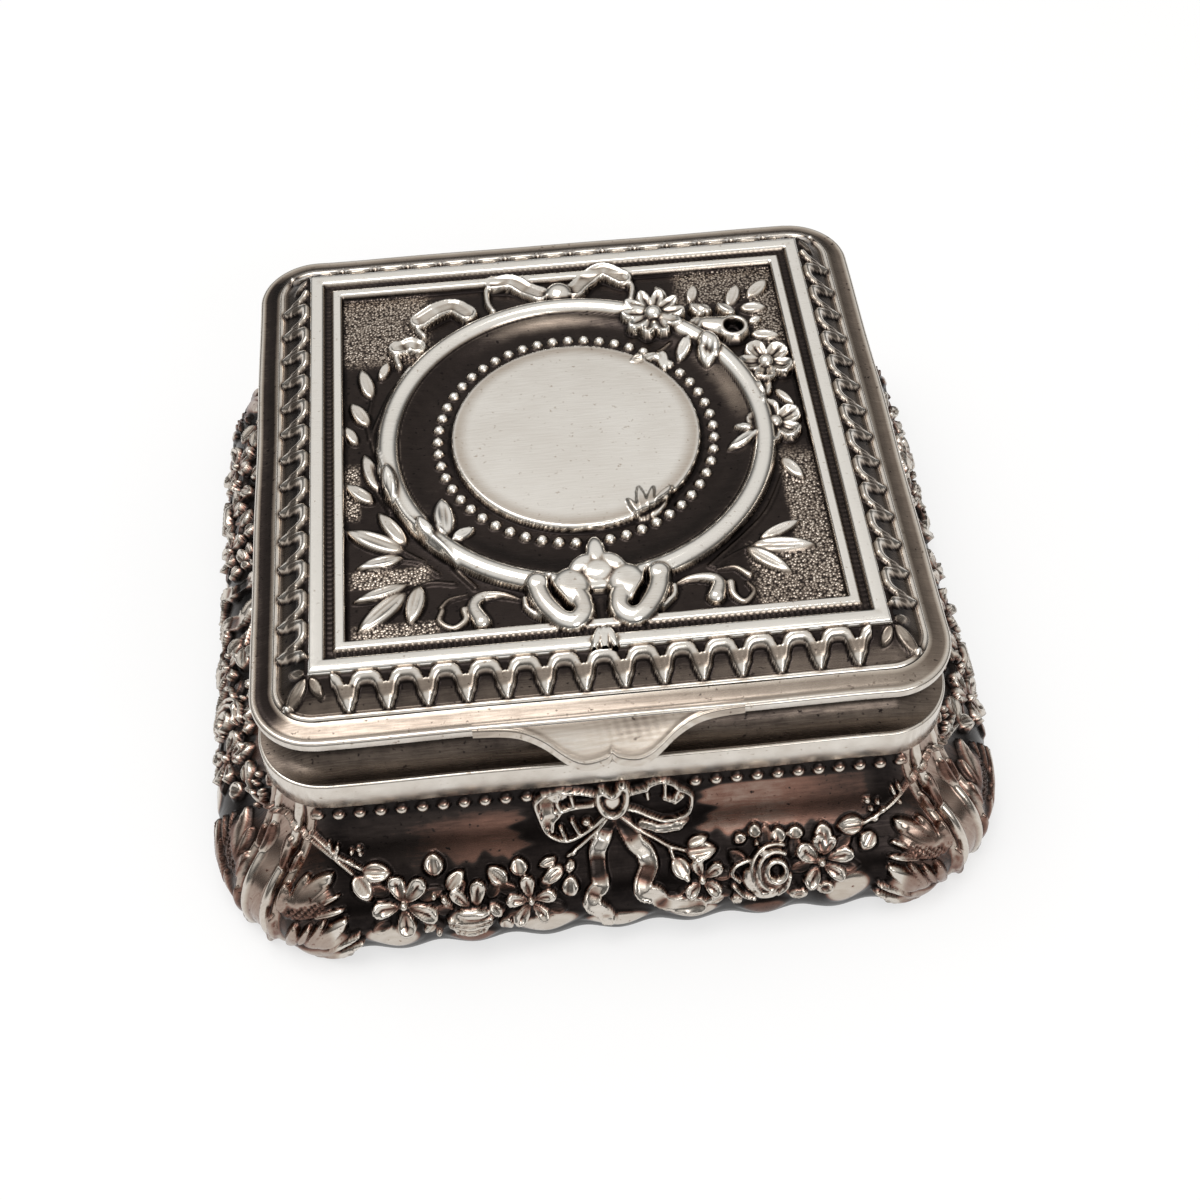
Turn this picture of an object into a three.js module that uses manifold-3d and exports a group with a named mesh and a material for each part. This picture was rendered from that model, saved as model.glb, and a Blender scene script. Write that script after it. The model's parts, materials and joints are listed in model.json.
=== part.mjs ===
// Square die-struck silver jewel box with swelling ogee walls and a hinged lid.
// Millimetres, +Z up. The origin is the centre of the underside, and the front faces -Y.
import * as THREE from 'three';
import { mergeVertices } from 'three/addons/utils/BufferGeometryUtils.js';
import loadManifold from 'manifold-3d';

// Plain band that rings the body below the neck
const BAND_HALF = 35.3;
const BAND_HEIGHT = 4;
const BAND_WIDTH = 3.3;
const BAND_CORNER_RADIUS = 7;
const BAND_OVERHANG = 0.5;
const BAND_ARRIS = 0.25;

// Ogee walls: a hollow below the band, then a swelling foot
const WALL_HEIGHT = 18;
const WALL_BULGE = 7.9;
const WALL_BULGE_HEIGHT = 3.2;
const WALL_HOLLOW_RADIUS = 10.5;
const WALL_THICKNESS = 1.2;
const WALL_ARC_STEPS = 5;

// Acanthus leaf and flutes on each corner. Stations run from 0 at the band to 1 at the floor.
const FLUTE_COUNT = 4;
const FLUTE_DEPTH = 0.7;
const FLUTE_START = [0.02, 0.3];
const FLUTE_END = [0.5, 0.62];
const UPPER_LEAF_RISE = 1.2;
const UPPER_LEAF_START = 0.5;
const UPPER_LEAF_END = [0.6, 0.76];
const LOWER_LEAF_RISE = 1.7;
const LOWER_LEAF_START = 0.78;
const LEAF_LOBES = 5;
const LEAF_LOBE_FALL = 0.45;
const LEAF_TIP = 0.07;
const LEAF_DROOP = 0.05;
const CORNER_EDGE = 0.08;
const CORNER_STEPS = 14;

// Flat base let in between the feet of the walls
const BASE_THICKNESS = 1;
const BASE_CLEARANCE = 0.2;

// Neck: the hollow moulding between the band and the lid
const NECK_HEIGHT = 6;
const NECK_HOLLOW = 3.7;
const NECK_LIP_SETBACK = 2.1;
const NECK_LIP_HEIGHT = 0.6;
const NECK_WALL = 1.2;
const NECK_FOOT_SETBACK = 0.3;
const NECK_FOOT_HEIGHT = 0.2;
const NECK_ARC_STEPS = 3;

// Bezel inside the neck, which the lid closes over
const BEZEL_THICKNESS = 0.8;
const BEZEL_RISE = 0.9;
const BEZEL_DEPTH = 6;
const BEZEL_CLEARANCE = 0.1;

// Lid: flat flange, sloping border, frame fillets and a sunk field
const FLANGE_SETBACK = 0.3;
const FLANGE_THICKNESS = 1.2;
const FLANGE_LEDGE = 2.4;
const FLANGE_SLOPE = 0.5;
const LID_HEIGHT = 4.5;
const LID_CLEARANCE = 0.5;
const LID_SHEET = 1;
const BORDER_BEAD = 0.5;
const BORDER_BEAD_RISE = 0.2;
const BORDER_TOP_DROP = 0.55;
const FRAME_HALF = 28.7;
const FRAME_WIDTH = 1.5;
const FRAME_CORNER = 1;
const CHANNEL_WIDTH = 1.2;
const CHANNEL_DEPTH = 0.5;
const FILLET_WIDTH = 0.8;
const FIELD_DEPTH = 1;
const FIELD_CORNER = 0.4;
const EDGE_EASE = 0.15;

// Round medallion in the middle of the lid
const RING_RADIUS = 20.3;
const RING_HALF_WIDTH = 0.95;
const RING_RISE = 0.6;
const BEAD_CIRCLE_RADIUS = 14.9;
const BEAD_SEAT_HALF_WIDTH = 0.9;
const BEAD_SEAT_RISE = 0.3;
const DISC_RADIUS = 13.5;
const DISC_RISE = 1.2;
const DISC_CROWN = 0.25;
const MEDALLION_STEPS = 40;
const RING_ARC_STEPS = 4;
const COVE_ARC_STEPS = 3;

// Thumbpiece that springs from the front of the flange
const THUMB_REACH = 3.2;
const THUMB_DROP = 3;
const THUMB_THICKNESS = 1.1;

// Right half of its outline in plan: distance from the centre line, then from the flange
const THUMB_END = [13.3, 0.4];
const THUMB_CURVE_START = [9.6, 0.4];
const THUMB_CURVE_END = [6.75, 2.3];
const THUMB_SHOULDER = [4.5, 3.2];
const THUMB_LOBE = [2.7, 4.2];
const THUMB_NOTCH = [0, 3.05];
const THUMB_CURVE_STEPS = 8;

// Struck ornament: solids with few faces, rooted in the sheet below them. A wall's hollow needs a deep root.
const WALL_ROOT = 0.7;
const LID_ROOT = 0.2;
const LEAF_SLENDERNESS = 0.42;
const LEAF_CREST = 0.45;
const PETAL_CREST = 0.6;
const PETAL_NOTCH = 0.55;
const BLOSSOM_PETALS = 5;
const BLOSSOM_HEART = 0.75;
const STUD_SIDES = 5;

// Bow and flower garlands of each wall. Places run along the wall from its middle, then down its face
// from the band.
const GARLAND_RISE = 1.1;
const BOW_RISE = 0.9;
const BOW_KNOT = [[0, 0.4], [0, 5.9]];
const BOW_KNOT_SLENDERNESS = 0.6;
const BOW_KNOT_RISE = 1.4;
const BOW_LOOP_CENTRE = [4.7, 4.1];
const BOW_LOOP_RADII = [3.4, 2.6];
const BOW_LOOP_WIDTH = 1.6;
const BOW_LOOP_STEPS = 6;
const BOW_TAIL_WIDTH = 2.2;
const BOW_TAILS = [
  [[-0.4, 5.2], [-2, 9.5], [-1.6, 13], [-2.8, 15.6], [-1.6, 17.9]],
  [[0.4, 5.2], [3.2, 9.8], [2.6, 13.6], [5, 15.4], [8.5, 17.6]],
];
const ROSE_PETALS = 6;
const ROSES = [
  { centre: [-16, 15.4], reach: 3.1 },
  { centre: [16.2, 13.8], reach: 3.3 },
];
const GARLAND_BLOSSOMS = [
  { centre: [-23.2, 13.4], reach: 2.9 },
  { centre: [-9.2, 13.6], reach: 2.4 },
  { centre: [9.3, 14], reach: 2.6 },
  { centre: [21.6, 13.6], reach: 2.6 },
];
const GARLAND_LEAVES = [
  [[-26.9, 9.2], [-22.6, 8.8]], [[-27, 9.6], [-26.6, 13.6]], [[-19.3, 10.4], [-19, 6.4]],
  [[-17.6, 12], [-16.2, 8.2]], [[-13, 12.8], [-11.9, 9.1]], [[-10.6, 11.2], [-9.8, 7.2]],
  [[-8.1, 11], [-4.6, 9.4]], [[7.2, 10.7], [11.3, 9.3]], [[21.6, 11.4], [22.4, 7.4]],
  [[26.9, 8.2], [22.8, 8.9]], [[27.1, 9.4], [26.9, 13.4]],
];

// Ornament of the lid. Places run across the box, then towards its back.
// The rises are over the sunk field.
const FIELD_LEAF_RISE = 0.85;
const RING_LEAF_RISE = 1.4;
const PALMETTE_RISE = 1.7;
const BLOSSOM_RISE = 1.2;
const RIBBON_RISE = 1.25;
const FIELD_LEAVES = [
  [[-21.9, 8.4], [-23, 13.4]], [[-22.3, 4.2], [-24.2, 8.2]], [[-23.6, 1.4], [-24.8, 4.8]],
  [[-21.4, -5.4], [-22.9, 0.4]], [[-21.9, -7], [-25, -3.8]], [[-18.7, -13.1], [-21.6, -8.1]],
  [[-18.9, -13.9], [-25.1, -10.3]], [[-19, -14.6], [-24, -15.6]], [[-18.6, -18.2], [-24.4, -20]],
  [[-18.9, -19.1], [-24, -24]], [[-17.5, -18.4], [-18.7, -23.6]], [[21.5, -5.4], [23.4, -8.9]],
  [[17.4, -16.4], [22.2, -14.3]], [[16.4, -17.1], [23.3, -17.8]], [[15.9, -17.3], [20.2, -21.3]],
  [[14.9, 19.6], [15.9, 22.8]], [[19.2, 18.4], [20.9, 22.2]], [[21.6, 19.7], [24.4, 22.5]],
  [[20.4, 18.1], [23.9, 17.8]], [[21, 13.7], [24.5, 13]], [[21.7, 6.7], [21.1, 3.2]],
];
const RING_LEAVES = [
  [[-20.1, -8], [-20.4, -2.6]], [[-14.5, -12.8], [-14.8, -7.1]], [[19.3, -1.9], [15.9, -3.9]],
  [[13.9, 13.5], [12.4, 9.8]], [[16.4, 13.7], [15.4, 8.5]], [[10.7, 12.2], [10.7, 8.5]],
  [[15.6, 17.2], [14, 13.3]],
];
const PALMETTE_LEAVES = [
  [[0.5, -20.4], [0.5, -14.6]], [[0.2, -20.4], [-2.6, -16.6]], [[0.8, -20.4], [3.6, -16.6]],
];
const LID_BLOSSOMS = [
  { centre: [21.8, -0.5], reach: 2.6 },
  { centre: [22.3, 9.1], reach: 2.9 },
];
const DAISY = { centre: [10.4, 17.4], reach: 3.7 };
const DAISY_PETALS = 10;
const DAISY_RISE = 1.7;
const DAISY_BOSS_RADIUS = 1.3;
const DAISY_BOSS_RISE = 2.2;
const TRUMPET = [[14.2, 16.4], [20, 14.2]];
const TRUMPET_SLENDERNESS = 0.55;
const TRUMPET_MOUTH = [19.2, 14.4];
const TRUMPET_RADIUS = 1.9;
const TRUMPET_BORE = 1.1;
const TRUMPET_SIDES = 8;
const RIBBON_WIDTH = 2;
const RIBBONS = [
  [[-1.6, 22.2], [-3.6, 23.8], [-5.2, 25], [-7.4, 25.3]],
  [[1.6, 22.4], [3.4, 24.7], [5.4, 25.6], [7.6, 24.4]],
  [[-10.7, 20.4], [-12.3, 22], [-14.2, 21.2], [-16.2, 19.9]],
  [[-18.8, 15.6], [-16.6, 15.8]],
];
const BOW_KNOB = [0, 22.4];
const BOW_KNOB_RADIUS = 2;
const BOW_KNOB_RISE = 1.7;

// Volutes and scrolls at the front of the lid: the left one of each pair
const PAIR_MIDLINE = 0.3;
const VOLUTE_CENTRE = [-3.2, -22];
const VOLUTE_RADII = [1.75, 2.7];
const VOLUTE_WIDTH = 1.9;
const VOLUTE_STEPS = 8;
const VOLUTE_RISE = 1.45;
const SCROLL = [[-7.4, -21.4], [-9.4, -20.6], [-11.4, -20.7], [-12.2, -21.9], [-11.5, -23.9]];
const SCROLL_WIDTH = 1.3;
const SCROLL_RISE = 0.9;

// Bead circle of the medallion, and the drops that hang round the lid's border
const RING_BEAD_COUNT = 53;
const RING_BEAD_RADIUS = 0.9;
const RING_BEAD_RISE = 1;
const BORDER_DROP_COUNT = 14;
const BORDER_DROP_PITCH = 3.85;
const BORDER_DROP_LENGTH = 3.1;
const BORDER_DROP_SLENDERNESS = 0.8;
const BORDER_DROP_RISE = 0.7;

// Five-knuckle hinge that lies in the hollow of the neck at the back
const HINGE_LENGTH = 45;
const HINGE_INSET = 2.3;
const HINGE_DROP = 3;
const KNUCKLE_COUNT = 5;
const KNUCKLE_GAP = 0.15;
const BARREL_RADIUS = 1.2;
const PIN_RADIUS = 0.55;
const PIN_CLEARANCE = 0.07;
const LEAF_STRAP = 0.8;
const ROUND_STEPS = 12;

// Clearances
const SOLDER_GAP = 0.05;
const LID_SEAT_GAP = 0.1;
const SEAT_GAP = 0.3;

const CORNER_ARC_STEPS = 5;

// Levels and half widths that follow from the sizes above
const cornerCentre = BAND_HALF - BAND_CORNER_RADIUS;
const wallTopHalf = BAND_HALF - BAND_OVERHANG;
const bandTop = WALL_HEIGHT + BAND_HEIGHT;
const splitLevel = bandTop + NECK_HEIGHT;
const neckInnerHalf = BAND_HALF - NECK_HOLLOW - NECK_WALL;
const bezelHalf = neckInnerHalf - BEZEL_CLEARANCE;
const flangeHalf = BAND_HALF - FLANGE_SETBACK;
const flangeInnerHalf = bezelHalf + LID_CLEARANCE;
const flangeTop = splitLevel + FLANGE_THICKNESS;
const lidPanelHalf = flangeHalf - FLANGE_LEDGE;
const frameTop = splitLevel + LID_HEIGHT;
const fieldLevel = frameTop - FIELD_DEPTH;
const lidUnderside = fieldLevel - LID_SHEET;
const hingeY = BAND_HALF - HINGE_INSET;
const hingeZ = splitLevel - HINGE_DROP;
const panelSeat = flangeTop + SOLDER_GAP;
const rimLevel = flangeTop + FLANGE_SLOPE;
const borderTop = frameTop - BORDER_TOP_DROP;
const borderInnerHalf = FRAME_HALF + 2 * EDGE_EASE;
const borderOuterHalf = lidPanelHalf - BORDER_BEAD - EDGE_EASE;

// Ogee of the walls: an arc of the hollow runs into an arc of the bulge at the same slope
const ogeeFall = WALL_HEIGHT - WALL_BULGE_HEIGHT;
const ogeeSweep = 2 * Math.atan(WALL_BULGE / ogeeFall);
const bulgeRadius = ogeeFall / Math.sin(ogeeSweep) - WALL_HOLLOW_RADIUS;
const hollowHalf = wallTopHalf + WALL_HOLLOW_RADIUS;
const bulgeHalf = wallTopHalf + WALL_BULGE - bulgeRadius;

const SILVER = { color: 0xc9c4bb, roughness: 0.28, metalness: 1 };
const DARK_SILVER = { color: 0x8d867d, roughness: 0.38, metalness: 1 };
const STEEL = { color: 0x9a9a98, roughness: 0.35, metalness: 1 };

const wasm = await loadManifold();
wasm.setup();

// Closed solid from a geometry, with its shared vertices merged
function solidOf(geometry) {
  const bare = geometry.clone();
  bare.deleteAttribute('normal');
  bare.deleteAttribute('uv');
  const merged = mergeVertices(bare, 1e-5);
  return new wasm.Manifold(new wasm.Mesh({
    numProp: 3,
    vertProperties: new Float32Array(merged.attributes.position.array),
    triVerts: new Uint32Array(merged.index.array),
  }));
}

function geometryOf(solid) {
  const mesh = solid.getMesh();
  const geometry = new THREE.BufferGeometry();
  geometry.setAttribute('position', new THREE.BufferAttribute(mesh.vertProperties, 3));
  geometry.setIndex(new THREE.BufferAttribute(mesh.triVerts, 1));
  return geometry;
}

function joined(...geometries) {
  const solids = geometries.map(solidOf);
  return geometryOf(solids.reduce((whole, solid) => whole.add(solid)));
}

function cut(geometry, tool) {
  return geometryOf(solidOf(geometry).subtract(solidOf(tool)));
}

function common(geometry, other) {
  return geometryOf(solidOf(geometry).intersect(solidOf(other)));
}

function indexedGeometry(points, triangles) {
  const geometry = new THREE.BufferGeometry().setFromPoints(points);
  geometry.setIndex(triangles);
  return geometry;
}

function smooth(low, high, value) {
  return THREE.MathUtils.smoothstep(value, low, high);
}

// Points along a circular or elliptical arc in the (half width, level) plane, ends included
function arc(half, level, radiusHalf, radiusLevel, from, to, steps) {
  return Array.from({ length: steps + 1 }, (_, i) => {
    const angle = from + (to - from) * i / steps;
    return [half + radiusHalf * Math.cos(angle), level + radiusLevel * Math.sin(angle)];
  });
}

// Rounded square at one level, counter-clockwise from above
function roundedSquare([half, level, radius]) {
  const points = [];
  const centre = half - radius;
  for (let corner = 0; corner < 4; corner += 1) {
    const start = corner * Math.PI / 2;
    const centreX = Math.SQRT2 * centre * Math.cos(start + Math.PI / 4);
    const centreY = Math.SQRT2 * centre * Math.sin(start + Math.PI / 4);
    for (let i = 0; i <= CORNER_ARC_STEPS; i += 1) {
      const angle = start + (i / CORNER_ARC_STEPS) * Math.PI / 2;
      const x = centreX + radius * Math.cos(angle);
      points.push(new THREE.Vector3(x, centreY + radius * Math.sin(angle), level));
    }
  }
  return points;
}

// Loft through rounded squares. A ring's section closes on itself; a plate's ends are capped.
function squareLoft(stations, isRing) {
  const points = stations.flatMap(roundedSquare);
  const count = points.length / stations.length;
  const triangles = [];
  const bands = isRing ? stations.length : stations.length - 1;
  for (let j = 0; j < bands; j += 1) {
    const lower = j * count;
    const upper = ((j + 1) % stations.length) * count;
    for (let i = 0; i < count; i += 1) {
      const next = (i + 1) % count;
      triangles.push(lower + i, lower + next, upper + next);
      triangles.push(lower + i, upper + next, upper + i);
    }
  }
  if (!isRing) {
    const last = (stations.length - 1) * count;
    const bottom = points.length;
    points.push(new THREE.Vector3(0, 0, stations[0][1]));
    points.push(new THREE.Vector3(0, 0, stations.at(-1)[1]));
    for (let i = 0; i < count; i += 1) {
      const next = (i + 1) % count;
      triangles.push(bottom, next, i);
      triangles.push(bottom + 1, last + i, last + next);
    }
  }
  return indexedGeometry(points, triangles);
}

// Adds the corner radius that keeps a body outline concentric with the band
function concentric(profile) {
  return profile.map(([half, level]) => [half, level, half - cornerCentre]);
}

// Ogee of the wall from its top edge down to the floor, set in from the face by an inset
function ogee(inset) {
  const outer = WALL_HOLLOW_RADIUS + inset;
  const inner = bulgeRadius - inset;
  const footAngle = -Math.asin(WALL_BULGE_HEIGHT / inner);
  const hollow = arc(hollowHalf, WALL_HEIGHT, outer, outer, Math.PI, Math.PI + ogeeSweep, WALL_ARC_STEPS);
  const swell = arc(bulgeHalf, WALL_BULGE_HEIGHT, inner, inner, ogeeSweep, 0, WALL_ARC_STEPS);
  const foot = arc(bulgeHalf, WALL_BULGE_HEIGHT, inner, inner, 0, footAngle, 2);
  foot.at(-1)[1] = 0;
  return [...hollow, ...swell.slice(1), ...foot.slice(1)];
}

// Pyramid that stands on a ground and is rooted in it. Its foot is spread, so that it has its outline
// where it leaves the ground. The ground's place function sets points along it, across it and out from it.
function pyramid({ place, root }, [x, y], outline, rise) {
  const spread = 1 + root / rise;
  const points = [place(x, y, rise), place(x, y, -root)];
  const triangles = [];
  outline.forEach(([footX, footY], i) => {
    points.push(place(x + spread * (footX - x), y + spread * (footY - y), -root));
    const next = 2 + (i + 1) % outline.length;
    triangles.push(0, 2 + i, next, 1, next, 2 + i);
  });
  return indexedGeometry(points, triangles);
}

function leaf(ground, [[x0, y0], [x1, y1]], rise, slenderness = LEAF_SLENDERNESS) {
  const middle = [x0 + LEAF_CREST * (x1 - x0), y0 + LEAF_CREST * (y1 - y0)];
  const sideX = slenderness / 2 * (y1 - y0);
  const sideY = slenderness / 2 * (x0 - x1);
  const right = [middle[0] + sideX, middle[1] + sideY];
  const left = [middle[0] - sideX, middle[1] - sideY];
  return pyramid(ground, middle, [[x0, y0], right, [x1, y1], left], rise);
}

function stud(ground, [x, y], radius, rise) {
  return pyramid(ground, [x, y], arc(x, y, radius, radius, 0, 2 * Math.PI, STUD_SIDES).slice(1), rise);
}

// Flower: a crest on each petal, a notch between petals and a lower heart
function blossom({ place, root }, { centre: [x, y], reach }, petals, rise) {
  const at = (angle, radius, out) => place(x + radius * Math.cos(angle), y + radius * Math.sin(angle), out);
  const spread = 1 + root / rise;
  const tipReach = reach * (PETAL_CREST + spread * (1 - PETAL_CREST));
  const points = [at(0, 0, BLOSSOM_HEART * rise), at(0, 0, -root)];
  const triangles = [];
  for (let i = 0; i < petals; i += 1) {
    const angle = 2 * Math.PI * i / petals;
    const between = angle + Math.PI / petals;
    points.push(at(angle, tipReach, -root), at(between, PETAL_NOTCH * reach, -root));
    points.push(at(angle, PETAL_CREST * reach, rise));
    const [tip, notch, crest] = [2 + 3 * i, 3 + 3 * i, 4 + 3 * i];
    const nextTip = 2 + 3 * ((i + 1) % petals);
    const nextCrest = nextTip + 2;
    triangles.push(tip, notch, crest, notch, nextTip, nextCrest, notch, nextCrest, crest);
    triangles.push(0, crest, nextCrest, 1, notch, tip, 1, nextTip, notch);
  }
  return indexedGeometry(points, triangles);
}

// Ribbon or scroll along a path, with a crest along its middle. A loop joins its ends.
function ribbon({ place, root }, path, width, rise, isLoop = false) {
  const count = path.length;
  const reach = width / 2 * (1 + root / rise);
  const points = [];
  const triangles = [];
  path.forEach(([x, y], i) => {
    const [x0, y0] = path[isLoop ? (i + count - 1) % count : Math.max(i - 1, 0)];
    const [x1, y1] = path[isLoop ? (i + 1) % count : Math.min(i + 1, count - 1)];
    const length = Math.hypot(x1 - x0, y1 - y0);
    const sideX = reach * (y1 - y0) / length;
    const sideY = reach * (x0 - x1) / length;
    points.push(place(x + sideX, y + sideY, -root));
    points.push(place(x, y, rise));
    points.push(place(x - sideX, y - sideY, -root));
    if (isLoop || i < count - 1) {
      const [right, crest, left] = [3 * i, 3 * i + 1, 3 * i + 2];
      const next = 3 * ((i + 1) % count);
      triangles.push(right, next, next + 1, right, next + 1, crest);
      triangles.push(crest, next + 1, next + 2, crest, next + 2, left);
      triangles.push(right, left, next + 2, right, next + 2, next);
    }
  });
  if (!isLoop) {
    const last = 3 * (count - 1);
    triangles.push(0, 1, 2, last, last + 2, last + 1);
  }
  return indexedGeometry(points, triangles);
}

// Place on the front wall: along it, up its face from the top edge (negative below), and out from it
function onWall(along, up, out) {
  const turn = -up / WALL_HOLLOW_RADIUS;
  if (turn < ogeeSweep) {
    const reach = WALL_HOLLOW_RADIUS - out;
    const level = WALL_HEIGHT - reach * Math.sin(turn);
    return new THREE.Vector3(along, reach * Math.cos(turn) - hollowHalf, level);
  }
  const swell = ogeeSweep - (turn - ogeeSweep) * WALL_HOLLOW_RADIUS / bulgeRadius;
  const reach = bulgeRadius + out;
  const level = WALL_BULGE_HEIGHT + reach * Math.sin(swell);
  return new THREE.Vector3(along, -bulgeHalf - reach * Math.cos(swell), level);
}

// Bow and garlands of the front wall
function wallOrnament() {
  const face = { place: onWall, root: WALL_ROOT };
  const up = ([along, drop]) => [along, -drop];
  const raised = (flower) => ({ ...flower, centre: up(flower.centre) });
  const pieces = [leaf(face, BOW_KNOT.map(up), BOW_KNOT_RISE, BOW_KNOT_SLENDERNESS)];
  BOW_TAILS.forEach((tail) => pieces.push(ribbon(face, tail.map(up), BOW_TAIL_WIDTH, BOW_RISE)));
  const [along, drop] = BOW_LOOP_CENTRE;
  [-along, along].forEach((middle) => {
    const loop = arc(middle, -drop, ...BOW_LOOP_RADII, 0, 2 * Math.PI, BOW_LOOP_STEPS).slice(1);
    pieces.push(ribbon(face, loop, BOW_LOOP_WIDTH, BOW_RISE, true));
  });
  GARLAND_LEAVES.forEach((ends) => pieces.push(leaf(face, ends.map(up), GARLAND_RISE)));
  GARLAND_BLOSSOMS.forEach((flower) => {
    pieces.push(blossom(face, raised(flower), BLOSSOM_PETALS, GARLAND_RISE));
  });
  ROSES.forEach((rose) => pieces.push(blossom(face, raised(rose), ROSE_PETALS, GARLAND_RISE)));
  return pieces;
}

// One flat-plan wall for the front, extruded along X between two corners
function wallGeometry() {
  const outline = [...ogee(0), ...ogee(WALL_THICKNESS).reverse()];
  const shape = new THREE.Shape(outline.map(([half, level]) => new THREE.Vector2(half, level)));
  const length = 2 * (cornerCentre - SOLDER_GAP);
  const geometry = new THREE.ExtrudeGeometry(shape, { depth: length, bevelEnabled: false });
  const towardsFront = new THREE.Vector3(0, -1, 0);
  const up = new THREE.Vector3(0, 0, 1);
  const alongWall = new THREE.Vector3(-1, 0, 0);
  geometry.applyMatrix4(new THREE.Matrix4().makeBasis(towardsFront, up, alongWall));
  geometry.translate(length / 2, 0, 0);
  const bounds = new THREE.BoxGeometry(length, 4 * BAND_HALF, WALL_HEIGHT).translate(0, 0, WALL_HEIGHT / 2);
  return common(joined(geometry, ...wallOrnament()), bounds);
}

// Height of the corner's relief: across runs from wall to wall, down from the band to the floor
function cornerRelief(across, down) {
  const edge = smooth(0, CORNER_EDGE, across) * smooth(0, CORNER_EDGE, 1 - across);
  const spread = Math.abs(2 * across - 1);
  const ridge = Math.sin(Math.PI * FLUTE_COUNT * across) ** 2;
  const flutes = FLUTE_DEPTH * ridge * smooth(...FLUTE_START, down) * (1 - smooth(...FLUTE_END, down));
  const scallop = Math.abs(Math.sin(Math.PI * LEAF_LOBES * across));
  const tipLine = down + LEAF_TIP * scallop - LEAF_DROOP * spread;
  const tier = (start) => smooth(start, start + LEAF_TIP, tipLine);
  const lobes = 1 - LEAF_LOBE_FALL * (1 - scallop);
  const upperFade = 1 - smooth(...UPPER_LEAF_END, down);
  const upperTier = UPPER_LEAF_RISE * lobes * tier(UPPER_LEAF_START) * upperFade;
  const lowerTier = LOWER_LEAF_RISE * lobes * tier(LOWER_LEAF_START);
  return edge * (flutes + upperTier + lowerTier);
}

// Quarter-round corner of the body: the wall's ogee turned about the corner's centre
function cornerGeometry() {
  const face = ogee(0);
  const back = ogee(WALL_THICKNESS);
  const rows = face.length;
  const points = [];
  const place = (half, level, turn) => {
    const reach = half - cornerCentre;
    const x = cornerCentre + reach * Math.cos(turn);
    return new THREE.Vector3(x, cornerCentre + reach * Math.sin(turn), level);
  };
  for (let i = 0; i <= CORNER_STEPS; i += 1) {
    const across = i / CORNER_STEPS;
    const turn = across * Math.PI / 2;
    face.forEach(([half, level], j) => {
      const rise = cornerRelief(across, j / (rows - 1)) / WALL_THICKNESS;
      const outward = rise * (half - back[j][0]);
      const isEdge = j === 0 || j === rows - 1;
      const upward = isEdge ? 0 : rise * (level - back[j][1]);
      points.push(place(half + outward, level + upward, turn));
    });
    back.forEach(([half, level]) => points.push(place(half, level, turn)));
  }
  const ring = 2 * rows;
  const section = [...Array(rows).keys()].concat([...Array(rows).keys()].map((j) => ring - 1 - j));
  const triangles = [];
  for (let i = 0; i < CORNER_STEPS; i += 1) {
    const near = i * ring;
    const far = near + ring;
    section.forEach((j, k) => {
      const next = section[(k + 1) % ring];
      triangles.push(near + j, near + next, far + next);
      triangles.push(near + j, far + next, far + j);
    });
  }
  const last = CORNER_STEPS * ring;
  for (let j = 0; j < rows - 1; j += 1) {
    triangles.push(j, rows + j, rows + j + 1, j, rows + j + 1, j + 1);
    triangles.push(last + j, last + rows + j + 1, last + rows + j);
    triangles.push(last + j, last + j + 1, last + rows + j + 1);
  }
  return indexedGeometry(points, triangles);
}

function baseGeometry() {
  const half = ogee(WALL_THICKNESS).at(-1)[0] - BASE_CLEARANCE;
  return squareLoft(concentric([[half, 0], [half, BASE_THICKNESS]]), false);
}

function bandGeometry() {
  const bottom = WALL_HEIGHT + SOLDER_GAP;
  const innerHalf = BAND_HALF - BAND_WIDTH;
  return squareLoft(concentric([
    [innerHalf, bottom],
    [BAND_HALF, bottom],
    [BAND_HALF, bandTop - BAND_ARRIS],
    [BAND_HALF - BAND_ARRIS, bandTop],
    [innerHalf, bandTop],
  ]), true);
}

// Scotia: two quarter ellipses that meet at the deepest line of the hollow
function neckGeometry() {
  const bottom = bandTop + SOLDER_GAP;
  const top = splitLevel - LID_SEAT_GAP;
  const deepHalf = BAND_HALF - NECK_HOLLOW;
  const lipHalf = BAND_HALF - NECK_LIP_SETBACK;
  const footHalf = BAND_HALF - NECK_FOOT_SETBACK;
  const footTop = bottom + NECK_FOOT_HEIGHT;
  const lower = hingeZ - footTop;
  const upper = top - NECK_LIP_HEIGHT - hingeZ;
  const footReach = footHalf - deepHalf;
  const lipReach = lipHalf - deepHalf;
  const quarter = Math.PI / 2;
  const rise = arc(footHalf, hingeZ, footReach, lower, -quarter, -2 * quarter, NECK_ARC_STEPS);
  const turn = arc(lipHalf, hingeZ, lipReach, upper, 2 * quarter, quarter, NECK_ARC_STEPS);
  return squareLoft(concentric([
    [neckInnerHalf, bottom],
    [footHalf, bottom],
    ...rise,
    ...turn.slice(1),
    [lipHalf, top],
    [neckInnerHalf, top],
  ]), true);
}

function bezelGeometry() {
  const bottom = splitLevel - BEZEL_DEPTH;
  const top = splitLevel + BEZEL_RISE;
  const innerHalf = bezelHalf - BEZEL_THICKNESS;
  return squareLoft(concentric([
    [innerHalf, bottom],
    [bezelHalf, bottom],
    [bezelHalf, top],
    [innerHalf, top],
  ]), true);
}

// Lid's flange, with a rebate that the struck panel sits in
function flangeGeometry() {
  const rebateHalf = lidPanelHalf + SOLDER_GAP;
  return squareLoft(concentric([
    [flangeInnerHalf, splitLevel],
    [flangeHalf, splitLevel],
    [flangeHalf, flangeTop - EDGE_EASE],
    [flangeHalf - EDGE_EASE, flangeTop],
    [rebateHalf, flangeTop + FLANGE_SLOPE],
    [rebateHalf, flangeTop],
    [flangeInnerHalf, flangeTop],
  ]), true);
}

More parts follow.
